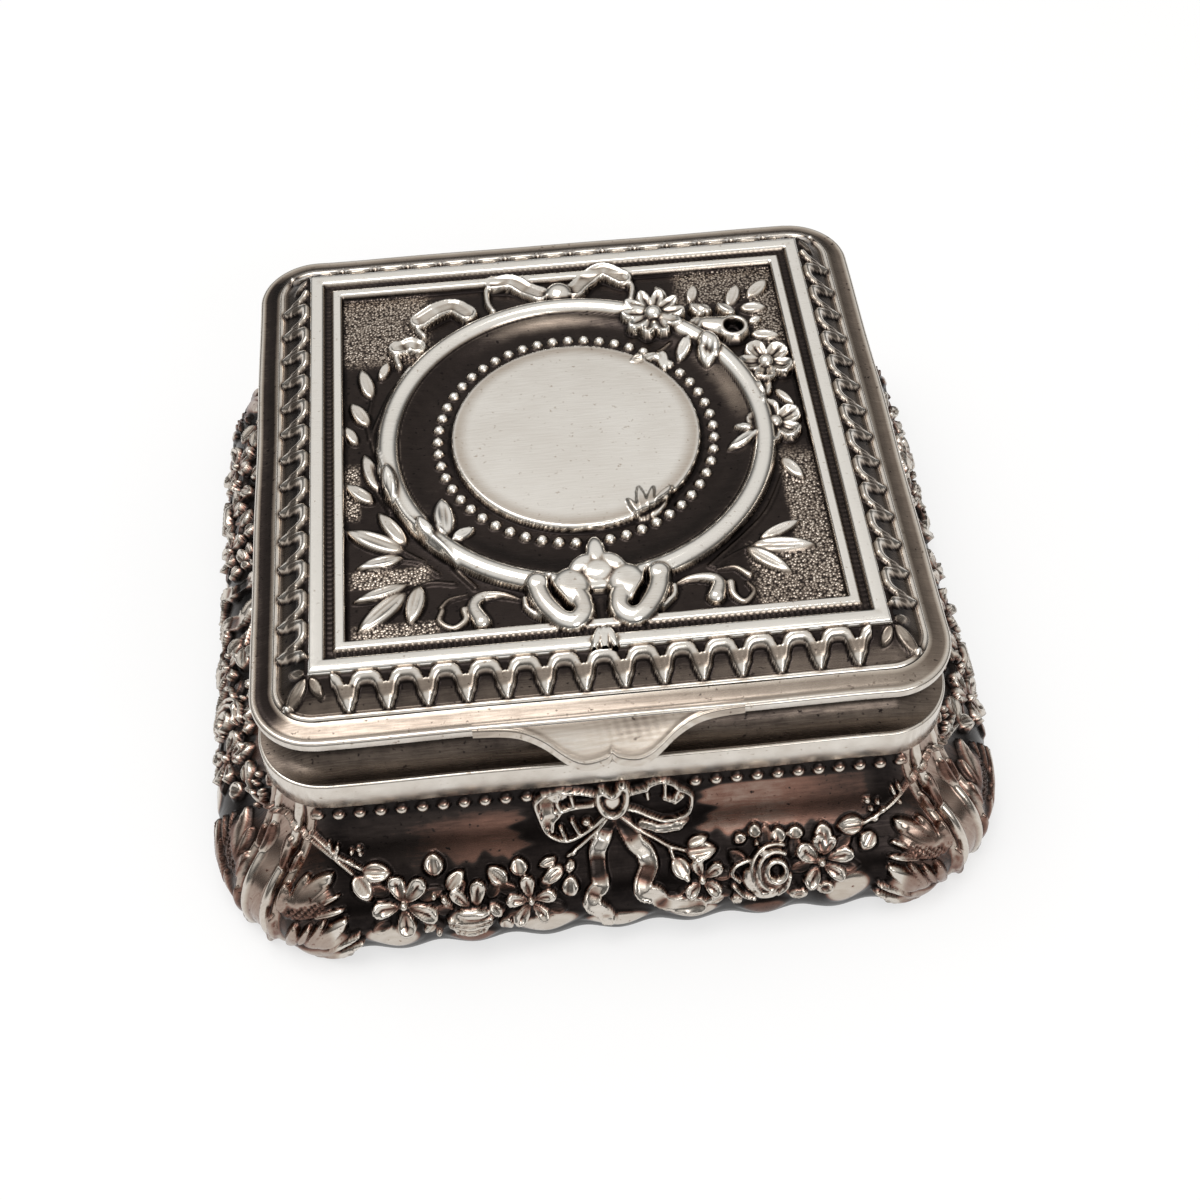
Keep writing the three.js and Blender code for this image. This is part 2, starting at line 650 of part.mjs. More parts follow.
// Revolved medallion: raised ring, cove, bead seat and crowned disc
function medallionGeometry() {
  const buried = fieldLevel - LID_SHEET / 2;
  const ringShoulder = frameTop + RING_RISE - RING_HALF_WIDTH;
  const seat = fieldLevel + BEAD_SEAT_RISE;
  const seatOuter = BEAD_CIRCLE_RADIUS + BEAD_SEAT_HALF_WIDTH;
  const discEdge = fieldLevel + DISC_RISE;
  const ringInner = RING_RADIUS - RING_HALF_WIDTH;
  const tube = arc(RING_RADIUS, ringShoulder, RING_HALF_WIDTH, RING_HALF_WIDTH, 0, Math.PI, RING_ARC_STEPS);
  const coveWidth = ringInner - seatOuter;
  const coveDrop = ringShoulder - seat;
  const cove = arc(seatOuter, ringShoulder, coveWidth, coveDrop, 0, -Math.PI / 2, COVE_ARC_STEPS);
  const profile = [
    [0, buried],
    [RING_RADIUS + RING_HALF_WIDTH, buried],
    ...tube,
    ...cove.slice(1),
    [DISC_RADIUS, seat],
    [DISC_RADIUS, discEdge - EDGE_EASE],
    [DISC_RADIUS - EDGE_EASE, discEdge],
    [0, discEdge + DISC_CROWN],
  ];
  const outline = profile.map(([radius, level]) => new THREE.Vector2(radius, level));
  return new THREE.LatheGeometry(outline, MEDALLION_STEPS).rotateX(Math.PI / 2);
}

const field = {
  place: (x, y, out) => new THREE.Vector3(x, y, fieldLevel + out),
  root: LID_ROOT,
};

// Place on the front slope of the lid's border
function onBorder(x, y, out) {
  const share = (-y - borderInnerHalf) / (borderOuterHalf - borderInnerHalf);
  return new THREE.Vector3(x, y, THREE.MathUtils.lerp(borderTop, rimLevel, share) + out);
}

// Drops that hang from the frame round the border
function borderOrnament() {
  const slope = { place: onBorder, root: LID_ROOT };
  const pieces = [];
  const middle = (BORDER_DROP_COUNT - 1) / 2;
  const tip = -FRAME_HALF - BORDER_DROP_LENGTH;
  for (let side = 0; side < 4; side += 1) {
    for (let i = 0; i < BORDER_DROP_COUNT; i += 1) {
      const x = (i - middle) * BORDER_DROP_PITCH;
      const drop = leaf(slope, [[x, -borderInnerHalf], [x, tip]], BORDER_DROP_RISE, BORDER_DROP_SLENDERNESS);
      pieces.push(drop.rotateZ(side * Math.PI / 2));
    }
  }
  return pieces;
}

// Flower with a hollow mouth at the end of a tube
function trumpetGeometry() {
  const depth = TRUMPET_RADIUS;
  const across = (radius, height, level) => {
    const round = new THREE.CylinderGeometry(radius, radius, height, TRUMPET_SIDES).rotateX(Math.PI / 2);
    return round.translate(...TRUMPET_MOUTH, level);
  };
  const tube = leaf(field, TRUMPET, RING_LEAF_RISE, TRUMPET_SLENDERNESS);
  const mouth = across(TRUMPET_RADIUS, depth, fieldLevel + RING_LEAF_RISE - depth / 2);
  const bore = across(TRUMPET_BORE, depth, fieldLevel + RING_LEAF_RISE);
  return cut(joined(tube, mouth), bore);
}

// Leaves, flowers, ribbons, volutes and beads of the lid
function lidOrnament() {
  const pieces = borderOrnament();
  FIELD_LEAVES.forEach((ends) => pieces.push(leaf(field, ends, FIELD_LEAF_RISE)));
  RING_LEAVES.forEach((ends) => pieces.push(leaf(field, ends, RING_LEAF_RISE)));
  PALMETTE_LEAVES.forEach((ends) => pieces.push(leaf(field, ends, PALMETTE_RISE)));
  LID_BLOSSOMS.forEach((flower) => pieces.push(blossom(field, flower, BLOSSOM_PETALS, BLOSSOM_RISE)));
  pieces.push(blossom(field, DAISY, DAISY_PETALS, DAISY_RISE));
  pieces.push(stud(field, DAISY.centre, DAISY_BOSS_RADIUS, DAISY_BOSS_RISE));
  pieces.push(trumpetGeometry());
  RIBBONS.forEach((path) => pieces.push(ribbon(field, path, RIBBON_WIDTH, RIBBON_RISE)));
  pieces.push(stud(field, BOW_KNOB, BOW_KNOB_RADIUS, BOW_KNOB_RISE));
  const mirrored = ([x, y]) => [2 * PAIR_MIDLINE - x, y];
  const volute = arc(...VOLUTE_CENTRE, ...VOLUTE_RADII, 0, 2 * Math.PI, VOLUTE_STEPS).slice(1);
  [volute, volute.map(mirrored).reverse()].forEach((path) => {
    pieces.push(ribbon(field, path, VOLUTE_WIDTH, VOLUTE_RISE, true));
  });
  [SCROLL, SCROLL.map(mirrored)].forEach((path) => {
    pieces.push(ribbon(field, path, SCROLL_WIDTH, SCROLL_RISE));
  });
  for (let i = 0; i < RING_BEAD_COUNT; i += 1) {
    const angle = 2 * Math.PI * i / RING_BEAD_COUNT;
    const place = [BEAD_CIRCLE_RADIUS * Math.cos(angle), BEAD_CIRCLE_RADIUS * Math.sin(angle)];
    pieces.push(stud(field, place, RING_BEAD_RADIUS, RING_BEAD_RISE));
  }
  return pieces;
}

// Struck lid panel: skirt, sloping border, frame, ribbed channel, fillet and sunk field
function lidPanelGeometry() {
  const skirtHalf = flangeInnerHalf + EDGE_EASE;
  const channelHalf = FRAME_HALF - FRAME_WIDTH;
  const filletHalf = channelHalf - CHANNEL_WIDTH;
  const fieldHalf = filletHalf - FILLET_WIDTH;
  const channelLevel = frameTop - CHANNEL_DEPTH;
  const wide = (half) => half - cornerCentre;
  const panel = squareLoft([
    [skirtHalf - LID_SHEET, lidUnderside, wide(skirtHalf - LID_SHEET)],
    [skirtHalf, panelSeat, wide(skirtHalf)],
    [lidPanelHalf, panelSeat, wide(lidPanelHalf)],
    [lidPanelHalf, rimLevel, wide(lidPanelHalf)],
    [lidPanelHalf - EDGE_EASE, rimLevel + BORDER_BEAD_RISE, wide(lidPanelHalf - EDGE_EASE)],
    [lidPanelHalf - BORDER_BEAD, rimLevel + BORDER_BEAD_RISE, wide(lidPanelHalf - BORDER_BEAD)],
    [borderOuterHalf, rimLevel, wide(borderOuterHalf)],
    [borderInnerHalf, borderTop, FRAME_CORNER],
    [FRAME_HALF, frameTop - EDGE_EASE, FRAME_CORNER],
    [FRAME_HALF - EDGE_EASE, frameTop, FRAME_CORNER],
    [channelHalf + EDGE_EASE, frameTop, FIELD_CORNER],
    [channelHalf, channelLevel, FIELD_CORNER],
    [filletHalf, channelLevel, FIELD_CORNER],
    [filletHalf - EDGE_EASE, frameTop - EDGE_EASE, FIELD_CORNER],
    [fieldHalf + EDGE_EASE, frameTop - EDGE_EASE, FIELD_CORNER],
    [fieldHalf, fieldLevel, FIELD_CORNER],
  ], false);
  return joined(panel, medallionGeometry(), ...lidOrnament());
}

// Thumbpiece: a sloping strip cut to a double-lobed outline
function thumbpieceGeometry() {
  const face = -flangeHalf - SOLDER_GAP;
  const tip = face - THUMB_REACH;
  const top = flangeTop - EDGE_EASE;
  const side = new THREE.Shape([
    new THREE.Vector2(face, top - THUMB_THICKNESS),
    new THREE.Vector2(tip, top - THUMB_THICKNESS - THUMB_DROP),
    new THREE.Vector2(tip - THUMB_THICKNESS / 2, top - THUMB_DROP - THUMB_THICKNESS / 2),
    new THREE.Vector2(tip, top - THUMB_DROP),
    new THREE.Vector2(face, top),
  ]);
  const half = THUMB_END[0];
  const strip = new THREE.ExtrudeGeometry(side, { depth: 2 * half, bevelEnabled: false });
  const across = new THREE.Vector3(1, 0, 0);
  const forward = new THREE.Vector3(0, 1, 0);
  const up = new THREE.Vector3(0, 0, 1);
  strip.applyMatrix4(new THREE.Matrix4().makeBasis(forward, up, across));
  strip.translate(-half, 0, 0);

  const right = ([x, reach]) => [x, -reach];
  const left = ([x, reach]) => [-x, -reach];
  const plan = new THREE.Shape();
  plan.moveTo(-half, 0);
  plan.lineTo(...left(THUMB_END));
  plan.bezierCurveTo(...left(THUMB_CURVE_START), ...left(THUMB_CURVE_END), ...left(THUMB_SHOULDER));
  plan.quadraticCurveTo(...left(THUMB_LOBE), ...left(THUMB_NOTCH));
  plan.quadraticCurveTo(...right(THUMB_LOBE), ...right(THUMB_SHOULDER));
  plan.bezierCurveTo(...right(THUMB_CURVE_END), ...right(THUMB_CURVE_START), ...right(THUMB_END));
  plan.lineTo(half, 0);
  const depth = 2 * (flangeTop - bandTop);
  const options = { depth, bevelEnabled: false, curveSegments: THUMB_CURVE_STEPS };
  const cutter = new THREE.ExtrudeGeometry(plan, options);
  cutter.translate(0, face, top - depth / 2);
  return common(strip, cutter);
}

function roundBar(radius, length) {
  return new THREE.CylinderGeometry(radius, radius, length, ROUND_STEPS).rotateZ(Math.PI / 2);
}

const knuckleLength = (HINGE_LENGTH - (KNUCKLE_COUNT - 1) * KNUCKLE_GAP) / KNUCKLE_COUNT;

// Hinge knuckle about its own axis, with a strap to the piece that carries it
function knuckleGeometry(strapLow, strapHigh) {
  const [lowY, lowZ] = strapLow;
  const [highY, highZ] = strapHigh;
  const strap = new THREE.BoxGeometry(knuckleLength, highY - lowY, highZ - lowZ);
  strap.translate(0, (lowY + highY) / 2, (lowZ + highZ) / 2);
  const barrel = roundBar(BARREL_RADIUS, knuckleLength);
  const bore = roundBar(PIN_RADIUS + PIN_CLEARANCE, 2 * knuckleLength);
  return cut(joined(barrel, strap), bore);
}

// Body knuckle's strap lies on the neck's hollow; the lid's rises to the underside of the flange
function bodyKnuckleGeometry() {
  const neckFace = BAND_HALF - NECK_HOLLOW - hingeY;
  return knuckleGeometry([neckFace + SEAT_GAP, -LEAF_STRAP / 2], [0, LEAF_STRAP / 2]);
}

function lidKnuckleGeometry() {
  return knuckleGeometry([BARREL_RADIUS - LEAF_STRAP, 0], [BARREL_RADIUS, HINGE_DROP - SOLDER_GAP]);
}

const box = new THREE.Group();

function add(parent, name, geometry, finish) {
  const mesh = new THREE.Mesh(geometry, new THREE.MeshStandardMaterial(finish));
  mesh.name = name;
  parent.add(mesh);
  return mesh;
}

// Turns a copy of the front's pieces to another side of the box
function turned(quarterTurns) {
  const side = new THREE.Group();
  side.rotation.z = quarterTurns * Math.PI / 2;
  box.add(side);
  return side;
}

const wall = wallGeometry();
const corner = cornerGeometry();
['front', 'right', 'back', 'left'].forEach((side, i) => {
  add(turned(i), `body_${side}_panel`, wall, DARK_SILVER);
});
['back_right', 'back_left', 'front_left', 'front_right'].forEach((place, i) => {
  add(turned(i), `corner_leaf_${place}`, corner, DARK_SILVER);
});
add(box, 'base_plate', baseGeometry(), SILVER);
add(box, 'rim_band', bandGeometry(), SILVER);
add(box, 'rim_neck', neckGeometry(), DARK_SILVER);
add(box, 'inner_bezel', bezelGeometry(), SILVER);
add(box, 'lid_flange', flangeGeometry(), SILVER);
add(box, 'lid_panel', lidPanelGeometry(), DARK_SILVER);
add(box, 'thumbpiece', thumbpieceGeometry(), SILVER);

const hinge = new THREE.Group();
hinge.position.set(0, hingeY, hingeZ);
box.add(hinge);
for (let i = 0; i < KNUCKLE_COUNT; i += 1) {
  const onLid = i % 2 === 1;
  const geometry = onLid ? lidKnuckleGeometry() : bodyKnuckleGeometry();
  const name = `${onLid ? 'lid' : 'body'}_knuckle_${Math.floor(i / 2) + 1}`;
  const knuckle = add(hinge, name, geometry, SILVER);
  knuckle.position.x = (i - (KNUCKLE_COUNT - 1) / 2) * (knuckleLength + KNUCKLE_GAP);
}
add(hinge, 'hinge_pin', roundBar(PIN_RADIUS, HINGE_LENGTH), STEEL);

export default box;
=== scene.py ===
"""Dresses the jewel box's solids with struck relief and worn silver, on a pale studio floor."""

import json
import math

import bpy
import numpy as np
from bpy.props import FloatProperty, FloatVectorProperty, PointerProperty
from mathutils import Matrix, Vector

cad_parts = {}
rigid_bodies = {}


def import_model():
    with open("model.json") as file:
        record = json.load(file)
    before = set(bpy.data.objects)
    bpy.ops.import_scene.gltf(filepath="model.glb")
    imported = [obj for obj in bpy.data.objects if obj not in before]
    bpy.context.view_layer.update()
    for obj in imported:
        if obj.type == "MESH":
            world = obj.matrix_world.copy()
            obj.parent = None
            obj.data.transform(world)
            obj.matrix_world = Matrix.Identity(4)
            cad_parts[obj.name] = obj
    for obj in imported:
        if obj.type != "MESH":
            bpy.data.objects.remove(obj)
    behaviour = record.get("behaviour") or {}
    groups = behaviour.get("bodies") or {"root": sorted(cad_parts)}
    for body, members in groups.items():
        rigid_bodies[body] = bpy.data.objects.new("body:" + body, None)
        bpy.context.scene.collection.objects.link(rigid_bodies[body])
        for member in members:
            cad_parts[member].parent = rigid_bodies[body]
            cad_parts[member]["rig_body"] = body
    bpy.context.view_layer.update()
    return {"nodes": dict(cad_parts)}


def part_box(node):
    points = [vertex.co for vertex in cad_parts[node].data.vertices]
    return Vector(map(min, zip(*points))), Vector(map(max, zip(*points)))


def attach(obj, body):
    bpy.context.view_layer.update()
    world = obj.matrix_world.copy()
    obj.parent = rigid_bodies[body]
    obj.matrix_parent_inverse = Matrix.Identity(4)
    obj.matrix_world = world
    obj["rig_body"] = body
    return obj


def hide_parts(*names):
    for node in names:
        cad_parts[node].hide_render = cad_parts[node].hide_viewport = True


bl_info = {
    "name": "Struck Silver Jewel Box",
    "version": (1, 0, 0),
    "blender": (4, 5, 0),
    "location": "3D View > Sidebar > Jewel Box",
    "description": "Struck relief and worn silver for the jewel box's solids",
    "category": "Object",
}

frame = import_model()
MM = 0.001


def levels(node):
    """Lowest and highest level of a CAD node, in millimetres."""
    low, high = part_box(node)
    return low.z / MM, high.z / MM


def half_width(node):
    """Half of a CAD node's width across the box, in millimetres."""
    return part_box(node)[1].x / MM


# Levels and half widths of the solids, in millimetres
BAND_BOTTOM, BAND_TOP = levels("rim_band")
BAND_HALF = half_width("rim_band")
NECK_BOTTOM, NECK_TOP = levels("rim_neck")
FLANGE_BOTTOM = levels("lid_flange")[0]
FLANGE_HALF = half_width("lid_flange")
PANEL_BOTTOM = levels("lid_panel")[0]
PANEL_HALF = half_width("lid_panel")
BEZEL_BOTTOM, BEZEL_TOP = levels("inner_bezel")
BEZEL_HALF = half_width("inner_bezel")
BASE_TOP = levels("base_plate")[1]
BASE_HALF = half_width("base_plate")
HINGE_LOW, HINGE_HIGH = (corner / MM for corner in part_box("hinge_pin"))
HINGE_Y = (HINGE_LOW.y + HINGE_HIGH.y) / 2
HINGE_Z = (HINGE_LOW.z + HINGE_HIGH.z) / 2
PIN_RADIUS = (HINGE_HIGH.z - HINGE_LOW.z) / 2

# Plan: every outline is a rounded square about the same corner centres
CORNER_CENTRE = 28.3
ARC_STEPS = 24

# Ogee wall: a hollow under the band, a swell, and the foot
WALL_HEIGHT = 18.0
WALL_TOP_HALF = 34.8
WALL_BULGE = 7.9
BULGE_HEIGHT = 3.2
HOLLOW_RADIUS = 10.5
WALL_SHEET = 1.2
OGEE_SWEEP = 2 * math.atan(WALL_BULGE / (WALL_HEIGHT - BULGE_HEIGHT))
SWELL_RADIUS = (WALL_HEIGHT - BULGE_HEIGHT) / math.sin(OGEE_SWEEP) - HOLLOW_RADIUS
FOOT_SWEEP = math.asin(BULGE_HEIGHT / SWELL_RADIUS)
HOLLOW_LENGTH = HOLLOW_RADIUS * OGEE_SWEEP
OGEE_LENGTH = HOLLOW_LENGTH + SWELL_RADIUS * (OGEE_SWEEP + FOOT_SWEEP)

# Neck: a scotia between the band and the lid
NECK_DEEP_HALF = 31.6
NECK_LIP_HALF = 33.2
NECK_FOOT_HALF = 35.0
NECK_INNER_HALF = 30.4
NECK_LIP = 0.6
NECK_FOOT = 0.2

# Lid: frame mouldings round a sunk field, and the medallion in its middle
FRAME_TOP = 32.5
FRAME_HALF = 28.7
CHANNEL_HALF = 27.2
FILLET_HALF = 26.0
FIELD_HALF = 25.2
CHANNEL_DEPTH = 0.5
FIELD_DEPTH = 1.0
FIELD = FRAME_TOP - FIELD_DEPTH
FILLET_DROP = 0.12
FRAME_CROWN, FRAME_CROWN_HALF, FRAME_FALL = 0.1, 0.75, 1.6
CHANNEL_RIB_PITCH, CHANNEL_RIB_RISE, FRONT_CHANNEL_RIB_RISE = 0.62, 0.03, 0.1
RING_RADIUS = 20.3
RING_HALF_WIDTH = 1.3
RING_RISE = 0.5
RING_BANK = 0.5
COVE_INNER, COVE_RISE = 15.8, 0.45
BEAD_CIRCLE = 14.9
BEAD_COUNT = 53
BEAD_RADIUS = 0.63
SEAT = FRAME_TOP - 0.7
DISC_RADIUS = 13.5
DISC_RISE = 0.2
DISC_CROWN = 0.25

# Lambrequin border: arches and darts on the slope between the frame and the rim bead
BORDER_TOP_DROP = 0.55
BORDER_RIM = 29.7
BORDER_SLOPE_LENGTH = 1.25
BORDER_TUCK = 0.06
BORDER_FLAT = 0.3
BORDER_CORNER_RADIUS, BORDER_LEAST_RADIUS = 0.3, 0.1
BORDER_BEAD_HALF = 32.3
BORDER_BEAD_RADIUS = 0.33
ARCH_PITCH = 3.85
ARCH_STROKE = 0.56
ARCH_RISE = 0.7
ARCH_END = 26.6
ARCH_LINE = ((0.0, 0.62), (0.6, 0.64), (1.05, 0.9), (1.32, 1.4), (1.5, 2.1))
DART_PLACE, DART_REACH, DART_HALF = 2.3, 1.1, 0.74

# Leaves in the border's corners: base and tip on the diagonal, and the side leaves' shifts along the sides
CORNER_LEAF = (28.9, 31.4)
SIDE_LEAF = ((28.6, 0.4), (27.4, 3.3))

# Lid's flange, and the outline of the thumbpiece: half width against reach
FLANGE_INNER_HALF = 30.8
FLANGE_TOP = 29.2
THUMB_HALF = 13.3
THUMB_SLOPE = 0.94
THUMB_SHEET = 0.8
THUMB_ROOT = 0.7
THUMB_BEND = 2.2
THUMB_LIP = 0.14
THUMB_COLUMNS, THUMB_ROWS = 201, 41
THUMB_OUTLINE = (
    (0, 2.85), (0.6, 3.25), (2.2, 3.5), (3.4, 3.35), (4.7, 2.75), (6.6, 1.6), (8.6, 0.8), (10.6, 0.45),
    (13.3, 0.3),
)

# Run of an ornament's edge, as short as the relief's mesh can follow
EDGE = 0.3

# Stands in for a width of nothing where one divides by it
TINY = 1e-6

# Underside of the lid panel: half widths of its foot, its inner wall and its ceiling, and the ceiling's level
PANEL_FOOT_HALF, PANEL_INNER_HALF, CEILING_HALF = 30.95, 29.95, 29.6
CEILING = FIELD - 1.0

# Sheets of the band and the bezel, and the hinge's barrels and straps
BAND_SHEET, BEZEL_SHEET = 3.3, 0.8
BARREL_RADIUS, BORE_GAP, STRAP = 1.2, 0.07, 0.8

# Tarnish of the plain surfaces, from 0 for polished to 1 for black
INNER_TARNISH, SEAM_TARNISH = 0.3, 0.5
UNDERSIDE_TARNISH, FLANGE_TARNISH, BAND_TARNISH, BEZEL_TARNISH = 0.12, 0.18, 0.17, 0.16
NECK_TARNISH, NECK_INNER_TARNISH, BASE_TARNISH, HINGE_TARNISH, PIN_TARNISH = 0.66, 0.25, 0.2, 0.25, 0.2

# Mesh: columns along the straight sides of mouldings, points across flat plates, columns round bars, and one
# row in so many for inner faces. Mouldings waver by a hair.
SIDE_STEPS, LONG_SIDE_STEPS, PLATE_POINTS, BAR_STEPS, INNER_SPACING = 24, 32, 9, 32, 4
WAVER, NECK_WAVER = 0.03, 0.02

# Angles from which edges are sharp
CREASE, FLANGE_CREASE, THUMB_CREASE = math.radians(35), math.radians(40), math.radians(50)


def smooth(low, high, value):
    """Smooth step from 0 at low to 1 at high."""
    share = np.clip((value - low) / (high - low), 0, 1)
    return share * share * (3 - 2 * share)


def blurred(values, cells):
    """Values of a grid, evened out over this many cells."""
    kernel = np.hanning(2 * cells + 3)[1:-1]
    kernel /= kernel.sum()
    for axis in (0, 1):
        spread = [(cells, cells) if axis == side else (0, 0) for side in (0, 1)]
        padded = np.pad(values, spread, mode="edge")
        values = np.apply_along_axis(np.convolve, axis, padded, kernel, "valid")
    return values


def to_segment(x, y, start, end):
    """Distance of each place to the line between two points, and how far along it that lies, from 0 to 1."""
    (x0, y0), (x1, y1) = start, end
    t = np.clip(((x - x0) * (x1 - x0) + (y - y0) * (y1 - y0)) / math.hypot(x1 - x0, y1 - y0) ** 2, 0, 1)
    return np.hypot(x - x0 - t * (x1 - x0), y - y0 - t * (y1 - y0)), t


def turned_reach(dx, dy, halves, turn):
    """Distance from the middle of a turned ellipse, which is 1 on its outline. The turn is in degrees."""
    cos, sin = math.cos(math.radians(turn)), math.sin(math.radians(turn))
    return np.hypot((dx * cos + dy * sin) / halves[0], (dy * cos - dx * sin) / halves[1])


def dome(share):
    """Round section from 1 in the middle to 0 where the share of its reach is 1."""
    return np.sqrt(np.clip(1 - share**2, 0, 1))


def trail(points, steps=6):
    """Smooth path through points, by a cubic curve between each two."""
    points = np.asarray(points, float)
    ends = np.vstack([2 * points[0] - points[1], points, 2 * points[-1] - points[-2]])
    path = []
    for p0, p1, p2, p3 in zip(ends, ends[1:], ends[2:], ends[3:]):
        for t in np.arange(steps) / steps:
            bend = 2 * p0 - 5 * p1 + 4 * p2 - p3
            twist = 3 * p1 - p0 - 3 * p2 + p3
            path.append((2 * p1 + (p2 - p0) * t + bend * t**2 + twist * t**3) / 2)
    return np.array(path + [points[-1]])


class Relief:
    """Height of struck ornament over a patch of sheet, in millimetres."""

    def __init__(self, across, along, form):
        self.shape = across.shape
        self.across, self.along = across.ravel(), along.ravel()
        self.form = np.broadcast_to(form, self.shape).ravel()
        self.height = self.form.copy()

    def window(self, points, margin):
        """Places of the patch within a margin of the points."""
        (left, low), (right, high) = np.min(points, 0) - margin, np.max(points, 0) + margin
        beside = (self.across > left) & (self.across < right)
        return np.flatnonzero(beside & (self.along > low) & (self.along < high))

    def strike(self, window, rise, level=None):
        """Raises the sheet to an ornament's height over its form, or over a level."""
        base = self.form[window] if level is None else level
        raised = np.where(rise > 0, base + rise, -np.inf)
        self.height[window] = np.maximum(self.height[window], raised)

    def near(self, points, margin):
        """The window about points, and its places from the first of them."""
        window = self.window(points, margin)
        return window, self.across[window] - points[0][0], self.along[window] - points[0][1]

    def by_axis(self, base, tip, margin):
        """The window about an axis, how far along it each place lies, and how far to its left."""
        x1, y1 = tip[0] - base[0], tip[1] - base[1]
        length = math.hypot(x1, y1)
        window, dx, dy = self.near((base, tip), margin)
        return window, (dx * x1 + dy * y1) / length**2, (dy * x1 - dx * y1) / length

    def by_path(self, points, margin):
        """The window about a smooth path, each place's distance to it, and its share of the way along it."""
        path = trail(points)
        window = self.window(path, margin)
        x, y = self.across[window], self.along[window]
        nearest, travel = np.full(len(window), np.inf), np.zeros(len(window))
        lengths = np.hypot(*np.diff(path, axis=0).T)
        starts = np.concatenate([[0], np.cumsum(lengths)])
        for before, after, length, start in zip(path, path[1:], lengths, starts):
            distance, t = to_segment(x, y, before, after)
            closer = distance < nearest
            nearest[closer] = distance[closer]
            travel[closer] = start + (t * length)[closer]
        return window, nearest, travel / starts[-1]

    def bead(self, centre, radius, rise=1.0, level=None):
        """A ball set half into the sheet; rise is its height as a share of its radius."""
        window, dx, dy = self.near([centre], radius)
        self.strike(window, rise * radius * dome(np.hypot(dx, dy) / radius), level)

    def leaf(self, base, tip, width, rise=0.8, point=0.75, cup=0.35, lean=0.15, curl=0.15, level=None):
        """A leaf or petal. A positive cup dishes it and a negative one domes it. A point of 1 is sharp."""
        window, t, side = self.by_axis(base, tip, width)
        skewed = np.clip(t, 0, 1) ** 0.85
        half = width / 2 * np.clip(4 * skewed * (1 - skewed), 0, 1) ** point
        over = np.clip(side / np.maximum(half, TINY), -1, 1)
        rim = smooth(0.15, 0.8, np.abs(over))
        rib = np.exp(-((side / 0.15) ** 2)) * smooth(0, 0.2, t) * (1 - smooth(0.7, 1, t))
        blade = 1 - cup + cup * rim + 0.25 * max(cup, 0) * rib + lean * over
        fall = np.sqrt(smooth(0, max(EDGE, 0.3 * width), half - np.abs(side)))
        self.strike(window, rise * blade * (1 + curl * (2 * t - 1)) * fall, level)

    def petal(self, base, tip, width, *, rise, level=None):
        """A fan-shaped petal: narrow at its base, dished, with a rolled rim and a crease."""
        window, t, side = self.by_axis(base, tip, width)
        t, side = np.clip(t, 0, 1), np.abs(side)
        half = 0.56 * width * np.sqrt(t * (1 - t**5))
        rim = np.maximum(smooth(0.4, 0.85, side / np.maximum(half, TINY)), smooth(0.62, 0.9, t))
        crease = np.exp(-((side / 0.13) ** 2)) * smooth(0.2, 0.5, t) * (1 - smooth(0.75, 0.95, t))
        fall = np.sqrt(smooth(0, EDGE, half - side))
        self.strike(window, rise * (0.5 + 0.5 * t) * (0.68 + 0.32 * rim - 0.22 * crease) * fall, level)

    def stem(self, points, width, end_width=None, rise=0.9, level=None):
        """A half-round stem or scroll that may taper."""
        end_width = width if end_width is None else end_width
        window, distance, travel = self.by_path(points, max(width, end_width))
        half = (width + (end_width - width) * travel) / 2
        self.strike(window, rise * half * dome(distance / half), level)

    def line(self, points, width, rise):
        """A thin rounded wire or rim of the given height."""
        window, distance, _ = self.by_path(points, width)
        self.strike(window, rise * dome(2 * distance / width))

    def pad(self, place, halves, turn=0.0, hollow=0.0, *, rise, level=None):
        """A rounded petal or knob, turned by degrees. Its hollow dishes it to a cup."""
        window, dx, dy = self.near([place], max(halves))
        reach = turned_reach(dx, dy, halves, turn)
        swell = np.sqrt(np.clip(1 - reach**3, 0, 1))
        self.strike(window, rise * swell * (1 - hollow * (1 - smooth(0.3, 0.8, reach))), level)

    def ribbon(self, points, width, rises, level=None):
        """A dished ribbon with rolled edges, which folds up and down to the rises given for its points."""
        window, distance, travel = self.by_path(points, width)
        half = width / 2
        dish = 0.72 + 0.28 * smooth(0.4, 0.8, distance / half)
        fold = np.interp(travel * (len(rises) - 1), np.arange(len(rises)), rises)
        self.strike(window, fold * dish * smooth(0, EDGE, half - distance), level)

    def blossom(self, centre, reach, petals, turn, rise, level):
        """An open flower with petals about a boss."""
        width = 1.75 * reach * math.sin(math.pi / petals)
        for k in range(petals):
            angle = turn + 2 * math.pi * k / petals
            tip = (centre[0] + reach * math.cos(angle), centre[1] + reach * math.sin(angle))
            self.petal(centre, tip, width, rise=rise, level=level)
        self.bead(centre, 0.27 * reach, rise=0.8, level=level + 0.45 * rise)

    def groove(self, points, width, end_width, depth):
        """Cuts a rounded groove into the ornament, which may widen."""
        window, distance, travel = self.by_path(points, max(width, end_width))
        half = (width + (end_width - width) * travel) / 2
        self.height[window] -= depth * (1 - smooth(0.35, 1.0, distance / half))

    def sink(self, place, radius, depth):
        """Presses a round hollow into the ornament."""
        window, dx, dy = self.near([place], radius)
        self.height[window] -= depth * (1 - smooth(0.6 * radius, radius, np.hypot(dx, dy)))

    def grid(self):
        """Heights as a grid."""
        return self.height.reshape(self.shape)

    def rise(self):
        """Heights over the plain form, as a grid."""
        return (self.height - self.form).reshape(self.shape)


